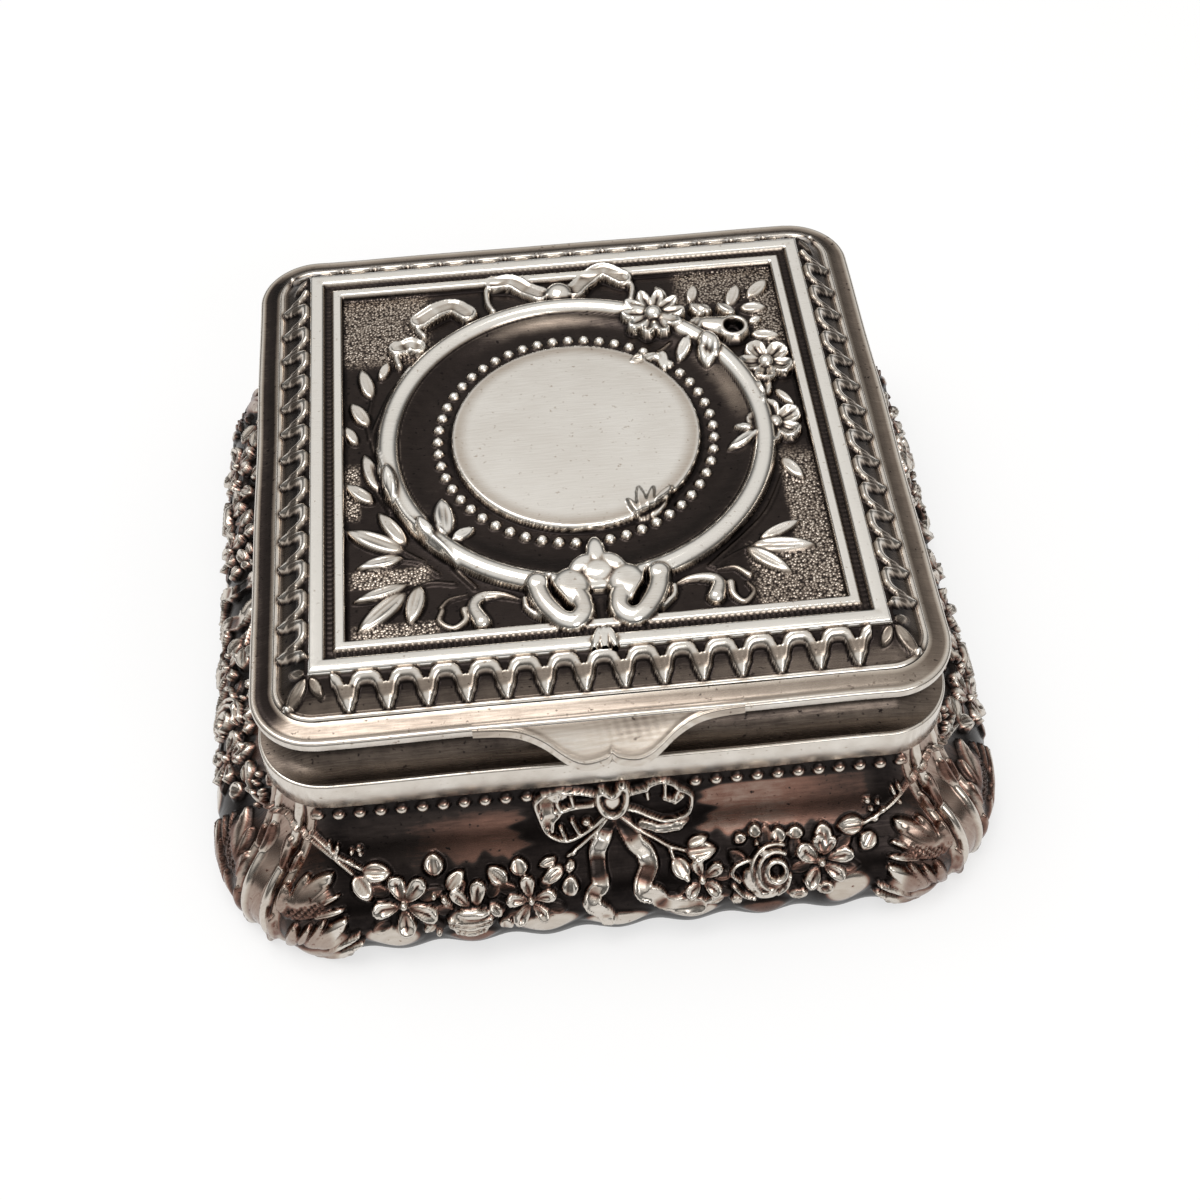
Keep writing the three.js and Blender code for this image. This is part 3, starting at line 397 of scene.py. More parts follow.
class Piece:
    """Points, faces and finish of one piece, gathered before its mesh is made."""

    def __init__(self):
        self.points, self.faces, self.tarnish, self.matting = [], [], [], []
        self.count = 0

    def sheet(self, points, outward, tarnish, matting=0.0, closed=False):
        """Adds a grid of points as a sheet that faces outward. If closed, its last column joins its first."""
        rows, columns = points.shape[:2]
        ids = self.count + np.arange(rows * columns).reshape(rows, columns)
        after = np.roll(ids, -1, 1) if closed else ids[:, 1:]
        near = ids if closed else ids[:, :-1]
        quads = np.stack([near[:-1], after[:-1], after[1:], near[1:]], -1).reshape(-1, 4)
        flat = points.reshape(-1, 3)
        corners = flat[quads - self.count]
        normals = np.cross(corners[:, 2] - corners[:, 0], corners[:, 3] - corners[:, 1])
        faced = np.broadcast_to(outward, points.shape).reshape(-1, 3)[quads[:, 0] - self.count]
        if np.sum(normals * faced) < 0:
            quads = quads[:, ::-1]
        self.points.append(flat)
        self.faces.append(quads)
        self.tarnish.append(np.broadcast_to(tarnish, (rows, columns)).ravel())
        self.matting.append(np.broadcast_to(matting, (rows, columns)).ravel())
        self.count += rows * columns

    def shell(self, face, inner, ways, tarnish):
        """Adds a struck sheet and its plain inner face, which is drawn coarser, joined all round."""
        self.sheet(face, ways, tarnish)
        kept = (np.append(np.arange(0, count - 1, INNER_SPACING), count - 1) for count in face.shape[:2])
        coarse = np.ix_(*kept)
        self.sheet(inner[coarse], -ways[coarse], INNER_TARNISH)
        down, beside = face[-1, 0] - face[0, 0], face[0, -1] - face[0, 0]
        for edge, sign in ((0, -1), (-1, 1)):
            self.sheet(np.stack([face[edge], inner[edge]]), sign * down, SEAM_TARNISH)
        for edge, sign in ((0, -1), (-1, 1)):
            self.sheet(np.stack([face[:, edge], inner[:, edge]]), sign * beside, SEAM_TARNISH)

    def plate(self, half, level, way, tarnish):
        """Adds a flat square that faces up or down."""
        line = np.linspace(-half, half, PLATE_POINTS)
        x, y = np.meshgrid(line, line)
        self.sheet(np.stack([x, y, np.full_like(x, level)], -1), (0, 0, way), tarnish)

    def turned(self, quarter_turns):
        """A copy of the piece, turned about the box's middle."""
        cos, sin = ((1, 0), (0, 1), (-1, 0), (0, -1))[quarter_turns % 4]
        copy = Piece()
        turn = np.array([[cos, -sin, 0], [sin, cos, 0], [0, 0, 1]])
        copy.points = [points @ turn.T for points in self.points]
        copy.faces, copy.tarnish, copy.matting = self.faces, self.tarnish, self.matting
        return copy

    def make(self, name, finish, node, slot, crease_angle=None):
        """Makes the mesh object, which stands for a CAD node and rides on that node's body."""
        points = np.concatenate(self.points) * MM
        faces = np.concatenate(self.faces)
        mesh = bpy.data.meshes.new(name)
        mesh.vertices.add(len(points))
        mesh.vertices.foreach_set("co", points.astype(np.float32).ravel())
        mesh.loops.add(faces.size)
        mesh.loops.foreach_set("vertex_index", faces.astype(np.int32).ravel())
        mesh.polygons.add(len(faces))
        mesh.polygons.foreach_set("loop_start", np.arange(0, faces.size, 4, dtype=np.int32))
        mesh.polygons.foreach_set("use_smooth", np.ones(len(faces), bool))
        # The tarnish attribute also holds painted shade, painted glints and a painted warm reflection.
        for title, values in (("tarnish", self.tarnish), ("matting", self.matting)):
            attribute = mesh.attributes.new(title, "FLOAT", "POINT")
            attribute.data.foreach_set("value", np.concatenate(values).astype(np.float32))
        mesh.update(calc_edges=True)
        mesh.validate()
        if crease_angle is not None:
            mesh.set_sharp_from_angle(angle=crease_angle)
        mesh.materials.append(finish)
        piece = bpy.data.objects.new(name, mesh)
        bpy.context.scene.collection.objects.link(piece)
        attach(piece, frame["nodes"][node]["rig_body"])
        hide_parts(node)


def square_plan(straight_steps):
    """Corner signs, outward ways and shares along the side of the columns round a rounded square."""
    signs, ways, shares = [], [], []
    for side in range(4):
        start = side * math.pi / 2 - math.pi / 2
        out = np.array([math.cos(start), math.sin(start)])
        on = np.array([-math.sin(start), math.cos(start)])
        for share in np.linspace(-1, 1, straight_steps + 1)[:-1]:
            signs.append(out + share * on)
            ways.append(out)
            shares.append(share)
        for step in range(ARC_STEPS):
            angle = start + step / ARC_STEPS * math.pi / 2
            signs.append(out + on)
            ways.append((math.cos(angle), math.sin(angle)))
            shares.append(1.0)
    return np.array(signs), np.array(ways), np.array(shares)


def square_ring(profile, straight_steps=SIDE_STEPS, waver=0.0):
    """Points of a moulding that runs round the box. The profile holds half widths and levels."""
    signs, ways, shares = square_plan(straight_steps)
    halves, heights = np.array(profile).T
    radii = halves - CORNER_CENTRE
    uneven = waver * (np.sin(5.3 * shares + 7 * ways[:, 0]) + np.sin(9.1 * shares + 3 * ways[:, 1]))
    plan = CORNER_CENTRE * signs + (radii[:, None, None] + uneven[:, None] * (shares < 1)[:, None]) * ways
    level = np.broadcast_to(heights[:, None, None], plan.shape[:2] + (1,))
    return np.concatenate([plan, level], -1)


def profile_ways(profile):
    """Outward way of each station of a closed profile, in the plane of half width and level."""
    profile = np.array(profile)
    way = np.roll(profile, -1, 0) - np.roll(profile, 1, 0)
    return np.stack([way[:, 1], -way[:, 0]], -1)


def carried_round(ways, plan_ways):
    """Outward ways of a profile's stations, carried round a plan."""
    level = np.broadcast_to(ways[:, None, 1:], (len(ways), len(plan_ways), 1))
    return np.concatenate([ways[:, None, :1] * plan_ways, level], -1)


def rounded(profile, radius, steps=3):
    """Closed profile with its corners rounded off."""
    softened = []
    count = len(profile)
    for k in range(count):
        before, here, after = (np.array(profile[(k + step) % count], float) for step in (-1, 0, 1))
        reach = [min(radius, 0.45 * np.linalg.norm(end - here)) for end in (before, after)]
        start = here + (before - here) / np.linalg.norm(before - here) * reach[0]
        end = here + (after - here) / np.linalg.norm(after - here) * reach[1]
        for t in np.linspace(0, 1, steps + 1):
            softened.append(tuple((1 - t) ** 2 * start + 2 * t * (1 - t) * here + t**2 * end))
    return softened


def moulding(profile, tarnish, straight_steps=SIDE_STEPS, waver=0.0):
    """A moulding with a closed profile, given against the clock in half width and level."""
    points = square_ring(profile, straight_steps, waver)
    points = np.concatenate([points, points[:1]])
    ways = square_plan(straight_steps)[1]
    outward = carried_round(profile_ways(profile), ways)
    outward = np.concatenate([outward, outward[:1]])
    stations = list(profile) + [profile[0]]
    shade = [np.broadcast_to(tarnish(half, level, ways), len(ways)) for half, level in stations]
    piece = Piece()
    piece.sheet(points, outward, np.array(shade), closed=True)
    return piece


def arc(centre, radii, start, end, steps):
    """Points of an elliptical arc in half width and level."""
    angles = np.linspace(start, end, steps + 1)
    return [(centre[0] + radii[0] * math.cos(a), centre[1] + radii[1] * math.sin(a)) for a in angles]


def ogee(drop):
    """Half width, level and outward way of the wall at a distance down its face."""
    turn = np.minimum(drop, HOLLOW_LENGTH) / HOLLOW_RADIUS
    swell = OGEE_SWEEP - (drop - HOLLOW_LENGTH) / SWELL_RADIUS
    on_swell = drop > HOLLOW_LENGTH
    angle = np.where(on_swell, swell, turn)
    hollow_half = WALL_TOP_HALF + HOLLOW_RADIUS * (1 - np.cos(turn))
    swell_half = WALL_TOP_HALF + WALL_BULGE - SWELL_RADIUS * (1 - np.cos(swell))
    half = np.where(on_swell, swell_half, hollow_half)
    hollow_level = WALL_HEIGHT - HOLLOW_RADIUS * np.sin(turn)
    level = np.where(on_swell, BULGE_HEIGHT + SWELL_RADIUS * np.sin(swell), hollow_level)
    return half, level, np.cos(angle), np.sin(angle)


# Wall ornament, by distance along the wall from its middle and down its face from the band.
# Leaves and petals are given as base, tip and width, bands as points, width and rises, and pads as place and
# half sizes, then turn and hollow where they are not 0.
GARLAND_LEAVES = (
    ((-26.5, 8.75), (-23.1, 9.3), 1.9), ((-27.2, 9), (-25.6, 12.1), 1.7), ((-18.95, 10.2), (-19, 7.2), 1.8),
    ((-17.9, 11.7), (-15.8, 9.4), 1.4), ((-11.5, 11.6), (-13.6, 9.4), 1.6), ((-10.1, 11), (-10.3, 8.6), 1.6),
    ((-5.4, 10.2), (-8.1, 11.9), 1.3), ((-6.1, 9.3), (-8.3, 10.1), 1), ((-4.6, 9.5), (-5.1, 11.2), 0.8),
    ((7.1, 10.1), (10.8, 9.9), 1.9), ((7.3, 9.3), (9.9, 8.4), 1), ((5.9, 10.3), (7.4, 13.1), 1.6),
    ((21.8, 10.8), (21.7, 8), 1.6), ((26.3, 8.8), (23.1, 8.9), 1.8), ((27.1, 9.6), (25.7, 11.7), 1.6),
    ((11.2, 15), (8.7, 16), 1), ((-19.4, 15), (-20.6, 16.4), 0.9), ((-13.6, 13.2), (-12.2, 15.1), 1),
    ((-5.2, 13.6), (-4.9, 11), 1.5), ((-12, 17.1), (-12, 15), 1.3), ((13.3, 9.8), (12.7, 8.4), 1.1),
    ((14.6, 9.4), (14.6, 7.4), 1.1), ((17.2, 10.2), (16.9, 8), 1.3), ((18.8, 9.9), (18.9, 8.1), 1.4),
)
GARLAND_UNDERLEAVES = (
    ((-23.6, 11.4), (-26.2, 10.6)), ((-21, 12.2), (-17.9, 11.3)), ((-20.9, 14), (-18.2, 16.3)),
    ((-24, 14.2), (-26, 15.8)), ((-17.4, 13.8), (-19.6, 13.5)), ((-13.8, 14.8), (-11.8, 13.9)),
    ((-13.6, 13), (-12.2, 10.4)), ((-16.6, 12.6), (-16.4, 9.4)), ((-8.2, 12.4), (-6.4, 10.4)),
    ((-10.4, 12.4), (-12.8, 11.6)), ((-7.8, 14.2), (-5.4, 15.2)), ((-10.2, 14.6), (-12.6, 16.4)),
    ((9.6, 12.5), (12.2, 12.9)), ((7.8, 12.2), (5.6, 12)), ((9.8, 13.9), (12, 15.4)),
    ((7.6, 13.8), (6, 15.8)), ((13.6, 12), (11.6, 10.2)), ((18.4, 11.8), (19, 9)),
    ((17.6, 14.2), (18.8, 16.6)), ((15.6, 10.4), (15.8, 7.8)), ((22.4, 13), (25.6, 13.3)),
    ((20.4, 12.6), (17.8, 12.9)), ((21, 14), (22.2, 16.4)), ((22.6, 11.2), (24.9, 9.9)),
)
GARLAND_PETALS = (
    ((-22.5, 12.4), (-23.2, 9.6), 2.3), ((-22.2, 12.5), (-20.2, 10.2), 2.4),
    ((-22.1, 12.9), (-19, 14.3), 2.4), ((-22.4, 13), (-22.3, 16.1), 2.5), ((-22.7, 12.8), (-25.7, 13), 2.3),
    ((-15.5, 13.8), (-17.4, 11.5), 1.9), ((-15, 13.8), (-14.5, 10.8), 2.2), ((-17.2, 14), (-18.2, 12.4), 1),
    ((-9.3, 13.3), (-9.6, 10.8), 2), ((-9.4, 13.4), (-11.8, 13.2), 1.9), ((-9.4, 13.7), (-10.9, 16.2), 2.1),
    ((-9, 13.4), (-6.6, 13), 1.8), ((-9.1, 13.7), (-7.7, 15.8), 1.8), ((8.7, 12.9), (8.2, 10.8), 1.7),
    ((8.9, 12.9), (10.9, 11.6), 1.8), ((8.9, 13.2), (10.5, 14.7), 2), ((8.6, 13.2), (7.1, 14.7), 2),
    ((21.2, 12.5), (19, 10.5), 2.4), ((21.1, 12.7), (19.9, 15), 2.2), ((21.5, 12.6), (23.7, 14.2), 2),
    ((21.8, 12.1), (24.8, 11.7), 1.9), ((21.7, 11.8), (21, 9.5), 1.8), ((21.7, 11.8), (22.9, 9.9), 1.4),
)
GARLAND_PADS = (
    ((-22.4, 12.7), (0.5, 0.5)), ((-18.2, 12.4), (0.4, 0.5), 20), ((-9.2, 13.5), (0.4, 0.4)),
    ((8.75, 13.05), (0.45, 0.45)), ((14.7, 9.8), (0.3, 0.35)), ((7.2, 12.7), (0.4, 0.35)),
    ((21.4, 12.4), (0.45, 0.45)), ((21.7, 15.3), (1, 0.75), 0, 0.6), ((18.9, 15.8), (1.1, 0.65), 0, 0.5),
    ((12.3, 15.8), (0.65, 0.55), 0, 0.4), ((-19.1, 16.4), (0.4, 0.4)), ((-19.2, 12), (0.3, 0.4)),
)
GARLAND_BERRIES = (
    ((-29.3, 5.6), (0.28, 0.65)), ((-28.6, 6), (0.28, 0.7), 15), ((-28.9, 6.9), (0.4, 0.3)),
    ((-27.4, 7.7), (0.75, 0.32), 35), ((-26.6, 8.3), (0.5, 0.3), 35), ((-27.2, 6.5), (0.25, 0.42)),
    ((-26.4, 6.2), (0.36, 0.36)), ((-26.3, 6.8), (0.3, 0.3)), ((-4.4, 9), (0.4, 0.25), -30),
    ((26.6, 6.2), (0.4, 0.42)), ((27.7, 6.5), (0.26, 0.4)), ((27, 7.2), (0.28, 0.32)),
    ((29.3, 5.4), (0.26, 0.7), -15), ((29.95, 5.2), (0.26, 0.75), -15), ((28.2, 7.5), (0.5, 0.36), -35),
    ((27.4, 8.4), (0.5, 0.3), -30), ((30, 6.9), (0.3, 0.3)),
)
GARLAND_STEMS = (
    ((-33.5, 2.9), (-31.2, 5), (-29.4, 6.7), (-27.4, 8.9)),
    ((-31, 4.2), (-29.9, 5.4), (-28.6, 6.9), (-26.4, 8.5)),
    ((-5, 9.2), (-3.2, 7.9), (-1.6, 6.5), (-0.7, 5.4)),
    ((0.9, 5.4), (2.4, 6.9), (4.3, 8.3), (5.6, 9.2), (7.1, 9.8)), ((5.6, 9.3), (5.9, 10.4)),
    ((26.2, 8.7), (28.2, 7.6), (29.5, 6.6), (31.2, 4.9), (33.5, 3)),
)
BOWL_ROSE = ((-15.7, 15.3), (2.6, 1.8))
BOWL_ROSE_LIP = ((-15.3, 14.2), (1.9, 0.6), 4)
BOWL_ROSE_FOLDS = (
    ((-17.9, 14.7), (-15.7, 15.25), (-13.5, 14.8)), ((-17.8, 15.3), (-15.7, 15.85), (-13.6, 15.4)),
    ((-17.2, 16.2), (-15.7, 16.6), (-14.2, 16.2)),
)
ROLLED_ROSE = ((15.4, 13.4), (2.6, 2.3))
ROLLED_ROSE_EYE, ROLLED_ROSE_EYE_RADIUS = (16.55, 12.75), 0.75
ROLLED_ROSE_ROLLS = ((1.05, 0, 360, 0.6, 1.5), (1.95, 100, 300, 0.6, 1.35), (2.7, 110, 290, 0.6, 1.2))
ROLLED_ROSE_PETALS = (
    ((13.7, 11.4), (12.3, 11.9), (11.9, 12.7), (12.6, 13.5)), ((12, 14), (13, 15.2), (14.2, 15.7)),
    ((16.6, 15.4), (17.6, 14.6), (18, 13.4)),
)
ROLLED_ROSE_PADS = (((15.4, 15.1), (1.5, 0.6)), ((15.5, 10.9), (0.75, 0.5)))
BOW_KNOT_RIM = (
    (-1, 1), (-1.4, 1.6), (-1.45, 2.9), (-1, 4.3), (0, 5), (1, 4.4), (1.5, 3), (1.5, 1.2), (1, 0.5),
    (0.7, 1.4), (0.1, 2.1), (-0.5, 1.7), (-1, 1),
)
BOW_KNOT = ((0.0, 3.1), (1.2, 1.6))
BOW_WIRES = (
    ((-7, 1), (-7.9, 2.4), (-7.6, 4.4), (-7.1, 6.1), (-6.3, 7), (-5, 7.5), (-3.5, 7), (-2, 6), (-1, 5.1)),
    ((-5.2, 0.8), (-3.4, 1.1), (-2, 1.7)), ((-5.6, 3.9), (-4.2, 3.4), (-2, 3.3)), ((-4.3, 1.1), (-4, 3.3)),
    ((-4.3, 5.2), (-3.7, 6.7)), ((-5.5, 5.9), (-5.1, 7.2)),
    ((-5.4, 1.3), (-5.7, 2.6), (-5.4, 3.9), (-6.2, 5), (-6.4, 6.2)),
    ((1.9, 2), (3.6, 1.5), (3.9, 0.9), (5, 0.4), (6.2, 1), (6.8, 1.9), (7.6, 2.5), (8.2, 3.3), (8.2, 4.6)),
    ((8.2, 4.6), (7.6, 5.7), (5.5, 6.2), (4, 5.6), (2.6, 4.7), (1.7, 4.3)), ((3.6, 1.6), (3.7, 3.1)),
    ((5.5, 1.2), (5.5, 3.2)), ((5.3, 3.2), (6.3, 3.6), (6.9, 2.3)), ((6.4, 4), (7.3, 3.1)),
)
BOW_BANDS = (
    (((-5.2, 1.2), (-6.5, 1.6), (-6.8, 2.8), (-6.6, 4.2), (-6.8, 5.4)), 1.8, (0.9, 0.95, 0.6, 0.95, 0.8)),
    (((3, 6.4), (4.1, 6.85)), 1.3, (0.8, 0.9)), (((4.5, 7.05), (5.4, 7.1)), 1.4, (0.95, 0.95)),
    (((5.8, 7.1), (6.7, 6.95)), 1.4, (0.9, 0.95)), (((7, 6.8), (7.5, 6.3)), 1.2, (0.8, 0.7)),
    (((-0.4, 5.4), (-1.2, 7.4), (-1.9, 8.9), (-2, 11), (-1.9, 11.6), (-1.9, 12.6), (-2.5, 13.2), (-2.9, 14.1),
     (-2.9, 14.6), (-2, 15.4), (-1.4, 16.5)), 2.1, (0.45, 0.4, 1.1, 1, 0.45, 0.35, 0.9, 0.6, 1.1, 1.05, 0.8)),
    (((0.8, 5.4), (1.5, 7.2), (2.2, 8.6), (2.9, 9.4), (3.3, 10.6), (3.2, 11.3), (2.8, 12.1), (2.5, 12.9),
     (2.6, 13.7), (3.8, 14.2), (4.6, 15.3), (6.3, 15.6), (8.2, 16)), 2.3,
     (0.45, 0.45, 0.55, 1.1, 1.1, 0.6, 0.55, 1.1, 1, 0.55, 0.95, 0.95, 0.7)),
)
BOW_BERRY = ((-2.8, 5.6), (0.55, 0.55))
BEAD_ROW_START, BEAD_ROW_PITCH, BEAD_ROW_COUNT = 8.7, 2.13, 11
BEAD_ROW_DROP, BEAD_ROW_RADIUS = 1.5, 0.74
WIRE_WIDTH = 0.55
LEAF_SPREAD = 1.45

# Greatest rise over a wall, and the rise from which it is eased off
SWELL_CAP, SWELL_EASE = 1.35, 0.9

# Tones of a wall, and the bands over which they fade, by place along the wall or down its face
WALL_WEAR = 0.19
GROUND_TONE, PLAIN_LIGHTER, SHINE_LIGHTER, CORNER_LIGHTER = 0.97, 0.43, 0.74, 0.2
PLAIN_TOP, PLAIN_FOOT, PLAIN_BESIDE_BOW, PLAIN_END = (2.3, 2.8), (8.2, 9.2), (9.0, 10.4), (26, 28)
CORNER_FADE, TONGUE_FADE = (28.5, 31), (29, 30.5)
SHADE_REACH = 0.9

# Acanthus of the corners, on the half that borders a wall's right end. Tongues are given as base, tip, width
# and rise, and the laps that they spring from as place, half sizes, turn and rise.
SIDE_ACANTHUS = 0.6
KNOBBED_WIDTH = 1.1
ACANTHUS_TONGUES = (
    ((34.8, 9.6), (33.2, 5.3), 1.7, 0.5), ((34.2, 9.4), (32.4, 6.9), 1, 0.5),
    ((33.6, 12.6), (29.2, 8.6), 2.3, 0.9), ((33.9, 12.2), (31.7, 8.9), 1.2, 0.85),
    ((35.6, 14), (34.2, 10.6), 1.5, 0.8), ((31.6, 12.4), (28.7, 10.9), 0.8, 0.75),
    ((31.8, 13.6), (28.4, 12.4), 0.9, 0.8), ((32.3, 17.6), (28.3, 13.4), 2.2, 0.9),
    ((32.9, 17.4), (30.6, 13.6), 1, 0.85), ((34, 17.8), (32.3, 14.6), 1, 0.85),
    ((35.6, 20.2), (33.9, 14.8), 1.7, 0.8), ((31.4, 18.6), (27.2, 15.5), 1, 0.85),
    ((31.8, 20.6), (27, 16.9), 1.5, 0.85), ((33, 20.8), (28.2, 18.6), 1.6, 0.75),
    ((37.6, 20.6), (36.6, 14.6), 1.4, 0.65),
)
ACANTHUS_LAPS = (
    ((32.4, 11.7), (3.2, 1.15), 22, 0.6), ((32.9, 13.2), (3.2, 0.9), 22, 0.45),
    ((30.9, 16.6), (3, 1.2), 24, 0.6), ((32, 19.2), (3.6, 1.3), 12, 0.55),
)
HATCH_PITCH, HATCH_DEPTH, HATCH_SLOPE = 0.75, 0.16, math.tan(math.radians(22))
HATCH_MIDDLE, HATCH_HALVES = (32.7, 13.1), (2.7, 0.75)

# Smooth pillows along the foot between the flowers: place, half sizes, turn and shine
FOOT_PILLOWS = (
    ((-24, 16.8), (3.4, 2), 8, 1), ((-15.7, 18), (3, 1.3), 0, 0.5), ((-7.6, 16.8), (3.8, 1.6), -8, 1),
    ((-0.3, 17.4), (3.9, 1.3), 0, 1), ((7.8, 17.2), (3, 1.3), 0, 1), ((15.4, 17.9), (3.1, 1.4), 0, 0.4),
    ((24.2, 16), (3, 2.2), -35, 0.95),
)
PILLOW_RISE = 0.3
SCALLOP_PITCH, SCALLOP_RISE, SCALLOP_LIFT = 7.7, 0.28, 0.6


def strike_wall(relief, acanthus):
    """Strikes the beads, bow, garlands and acanthus of a wall, the acanthus to a share of its full rise."""
    for k in range(BEAD_ROW_COUNT):
        for side in (-1, 1):
            relief.bead((side * (BEAD_ROW_START + k * BEAD_ROW_PITCH), BEAD_ROW_DROP), BEAD_ROW_RADIUS)
    for base, tip in GARLAND_UNDERLEAVES:
        relief.leaf(base, tip, width=1.8, rise=0.55, point=0.8, cup=0.4, lean=0.2)
    for points in GARLAND_STEMS:
        relief.line(points, WIRE_WIDTH, rise=0.7)
    for base, tip, width in GARLAND_LEAVES:
        relief.leaf(base, tip, LEAF_SPREAD * width, rise=1.05, point=0.95, cup=0.5, lean=0.22)
    for petal in GARLAND_PETALS:
        relief.petal(*petal, rise=1.15)
    for pad in GARLAND_PADS:
        relief.pad(*pad, rise=1.05)
    for berry in GARLAND_BERRIES:
        relief.pad(*berry, rise=0.85)
    strike_roses(relief)
    for band in BOW_BANDS:
        relief.ribbon(*band)
    for points in BOW_WIRES:
        relief.line(points, WIRE_WIDTH, rise=1.0)
    relief.pad(*BOW_BERRY, rise=0.8)
    relief.pad(*BOW_KNOT, rise=0.75)
    relief.line(BOW_KNOT_RIM, width=0.85, rise=1.35)
    for side in (-1, 1):
        strike_acanthus(relief, side, acanthus)


def strike_roses(relief):
    """Strikes the bowl-shaped rose on the left of a wall and the rolled one on its right."""
    relief.pad(*BOWL_ROSE, rise=1.0)
    for points in BOWL_ROSE_FOLDS:
        relief.line(points, width=0.5, rise=1.2)
    relief.pad(*BOWL_ROSE_LIP, rise=1.3)
    relief.pad(*ROLLED_ROSE, rise=1.0)
    x, y = ROLLED_ROSE_EYE
    for radius, start, end, width, rise in ROLLED_ROSE_ROLLS:
        angles = np.radians(np.linspace(start, end, 13))
        relief.line([(x + radius * math.cos(a), y + radius * math.sin(a)) for a in angles], width, rise)
    for points in ROLLED_ROSE_PETALS:
        relief.line(points, width=0.5, rise=1.0)
    for pad in ROLLED_ROSE_PADS:
        relief.pad(*pad, rise=1.25)
    relief.sink(ROLLED_ROSE_EYE, ROLLED_ROSE_EYE_RADIUS, depth=0.8)


def strike_acanthus(relief, side, share):
    """Strikes the acanthus at one end of a wall to a share of its rise, with knobs on its broad tongues."""
    for (along, drop), halves, turn, rise in ACANTHUS_LAPS:
        relief.pad((side * along, drop), halves, side * turn, rise=share * rise)
    for (along, drop), (tip_along, tip_drop), width, rise in ACANTHUS_TONGUES:
        base, tip = (side * along, drop), (side * tip_along, tip_drop)
        form = {"point": 0.42, "cup": -0.1, "lean": 0.22 * side, "curl": 0.3}
        relief.leaf(base, tip, width, 0.85 * share * rise, **form)
        if width > KNOBBED_WIDTH:
            knob = (0.25 * base[0] + 0.75 * tip[0], 0.25 * base[1] + 0.75 * tip[1])
            turn = math.degrees(math.atan2(tip[1] - base[1], tip[0] - base[0]))
            relief.pad(knob, (0.36 * width + 0.1, 0.3 * width), turn, rise=1.12 * share * rise)


def plain_toning_and_reflection(along, drop):
    """How far a place lies on the plain upper part of a wall, beside the bow, from 0 to 1, weighted for its
    red-brown: toning with a painted warm reflection, strongest left of the bow and fading towards the right
    end.
    """
    edge = np.abs(along) + 0.8 * np.sin(1.9 * drop) + 0.5 * np.sin(4.3 * drop)
    foot = drop + 0.5 * np.sin(1.3 * along) + 0.3 * np.sin(3.1 * along)
    plain = smooth(*PLAIN_TOP, drop) * (1 - smooth(*PLAIN_FOOT, foot))
    plain = plain * smooth(*PLAIN_BESIDE_BOW, edge) * (1 - smooth(*PLAIN_END, np.abs(along)))
    left = 0.2 + 0.65 * np.exp(-(((along + 12.5) / 7.5) ** 2)) * smooth(2.0, 5, drop)
    right = 1 - 0.5 * smooth(16, 26, along)
    return plain * np.where(along < 0, left, right)


def wall_shading(relief, along, drop, cells):
    """Tarnish and painted light of a struck wall: dark in hollows, red-brown where plain with a painted warm
    reflection there, bright on crests and on the foot, and painted shade on one half of each corner's
    tongues.
    """
    height, rise = relief.grid(), relief.rise()
    hollow = smooth(-0.06, 0.24, blurred(height, cells) - height)
    dished = smooth(0.02, 0.16, blurred(height, cells // 3) - height)
    shine = pillowed(along, drop)[1]
    corner = smooth(*CORNER_FADE, np.abs(along))
    ground = GROUND_TONE - PLAIN_LIGHTER * plain_toning_and_reflection(along, drop) - SHINE_LIGHTER * shine
    ground = (ground - CORNER_LIGHTER * corner) * (1 - 0.96 * smooth(0.2, 0.8, rise))
    tongues = smooth(*TONGUE_FADE, np.abs(along)) * smooth(0.2, 0.6, rise)
    # The tongues on one half of each corner are darker than on the other: painted shade.
    toning_and_painted_light = tongues * (np.where(along > 0, 0.52, 0.42) - 0.12 * smooth(0.8, 1.05, rise))
    band, lines = hatching(along, drop)
    hollow = hollow * (1 - 0.5 * shine) * (1 - 0.2 * corner)
    tarnish = np.maximum.reduce([ground, hollow, 0.78 * dished, toning_and_painted_light, band * (0.36 + 0.4 * lines)])
    return np.clip(tarnish, WALL_WEAR, 1)


def pillowed(along, drop):
    """How far a place lies on the smooth pillows of the foot, and how far they shine there, from 0 to 1."""
    share, shines = np.zeros_like(along), np.zeros_like(along)
    for (x, y), halves, turn, shine in FOOT_PILLOWS:
        pillow = 1 - smooth(0.5, 1.1, turned_reach(along - x, drop - y, halves, turn))
        share, shines = np.maximum(share, pillow), np.maximum(shines, shine * smooth(0.1, 0.85, pillow))
    return share, shines


def foot_wave(along, drop):
    """Soft scallops along the foot of a wall, set back between them, with pillows over them."""
    wave = SCALLOP_RISE * np.cos(2 * math.pi * along / SCALLOP_PITCH)
    return wave * smooth(15.2, 18.4, drop) + PILLOW_RISE * pillowed(along, drop)[0]


def foot_lift(along, drop):
    """How far the lower edge of a wall rises between the scallops."""
    return SCALLOP_LIFT * np.clip(-np.cos(2 * math.pi * along / SCALLOP_PITCH), 0, 1) * smooth(15, 20, drop)


def capped(height):
    """Relief height, eased off under the box's greatest width."""
    room = SWELL_CAP - SWELL_EASE
    return np.where(height > SWELL_EASE, SWELL_EASE + room * np.tanh((height - SWELL_EASE) / room), height)


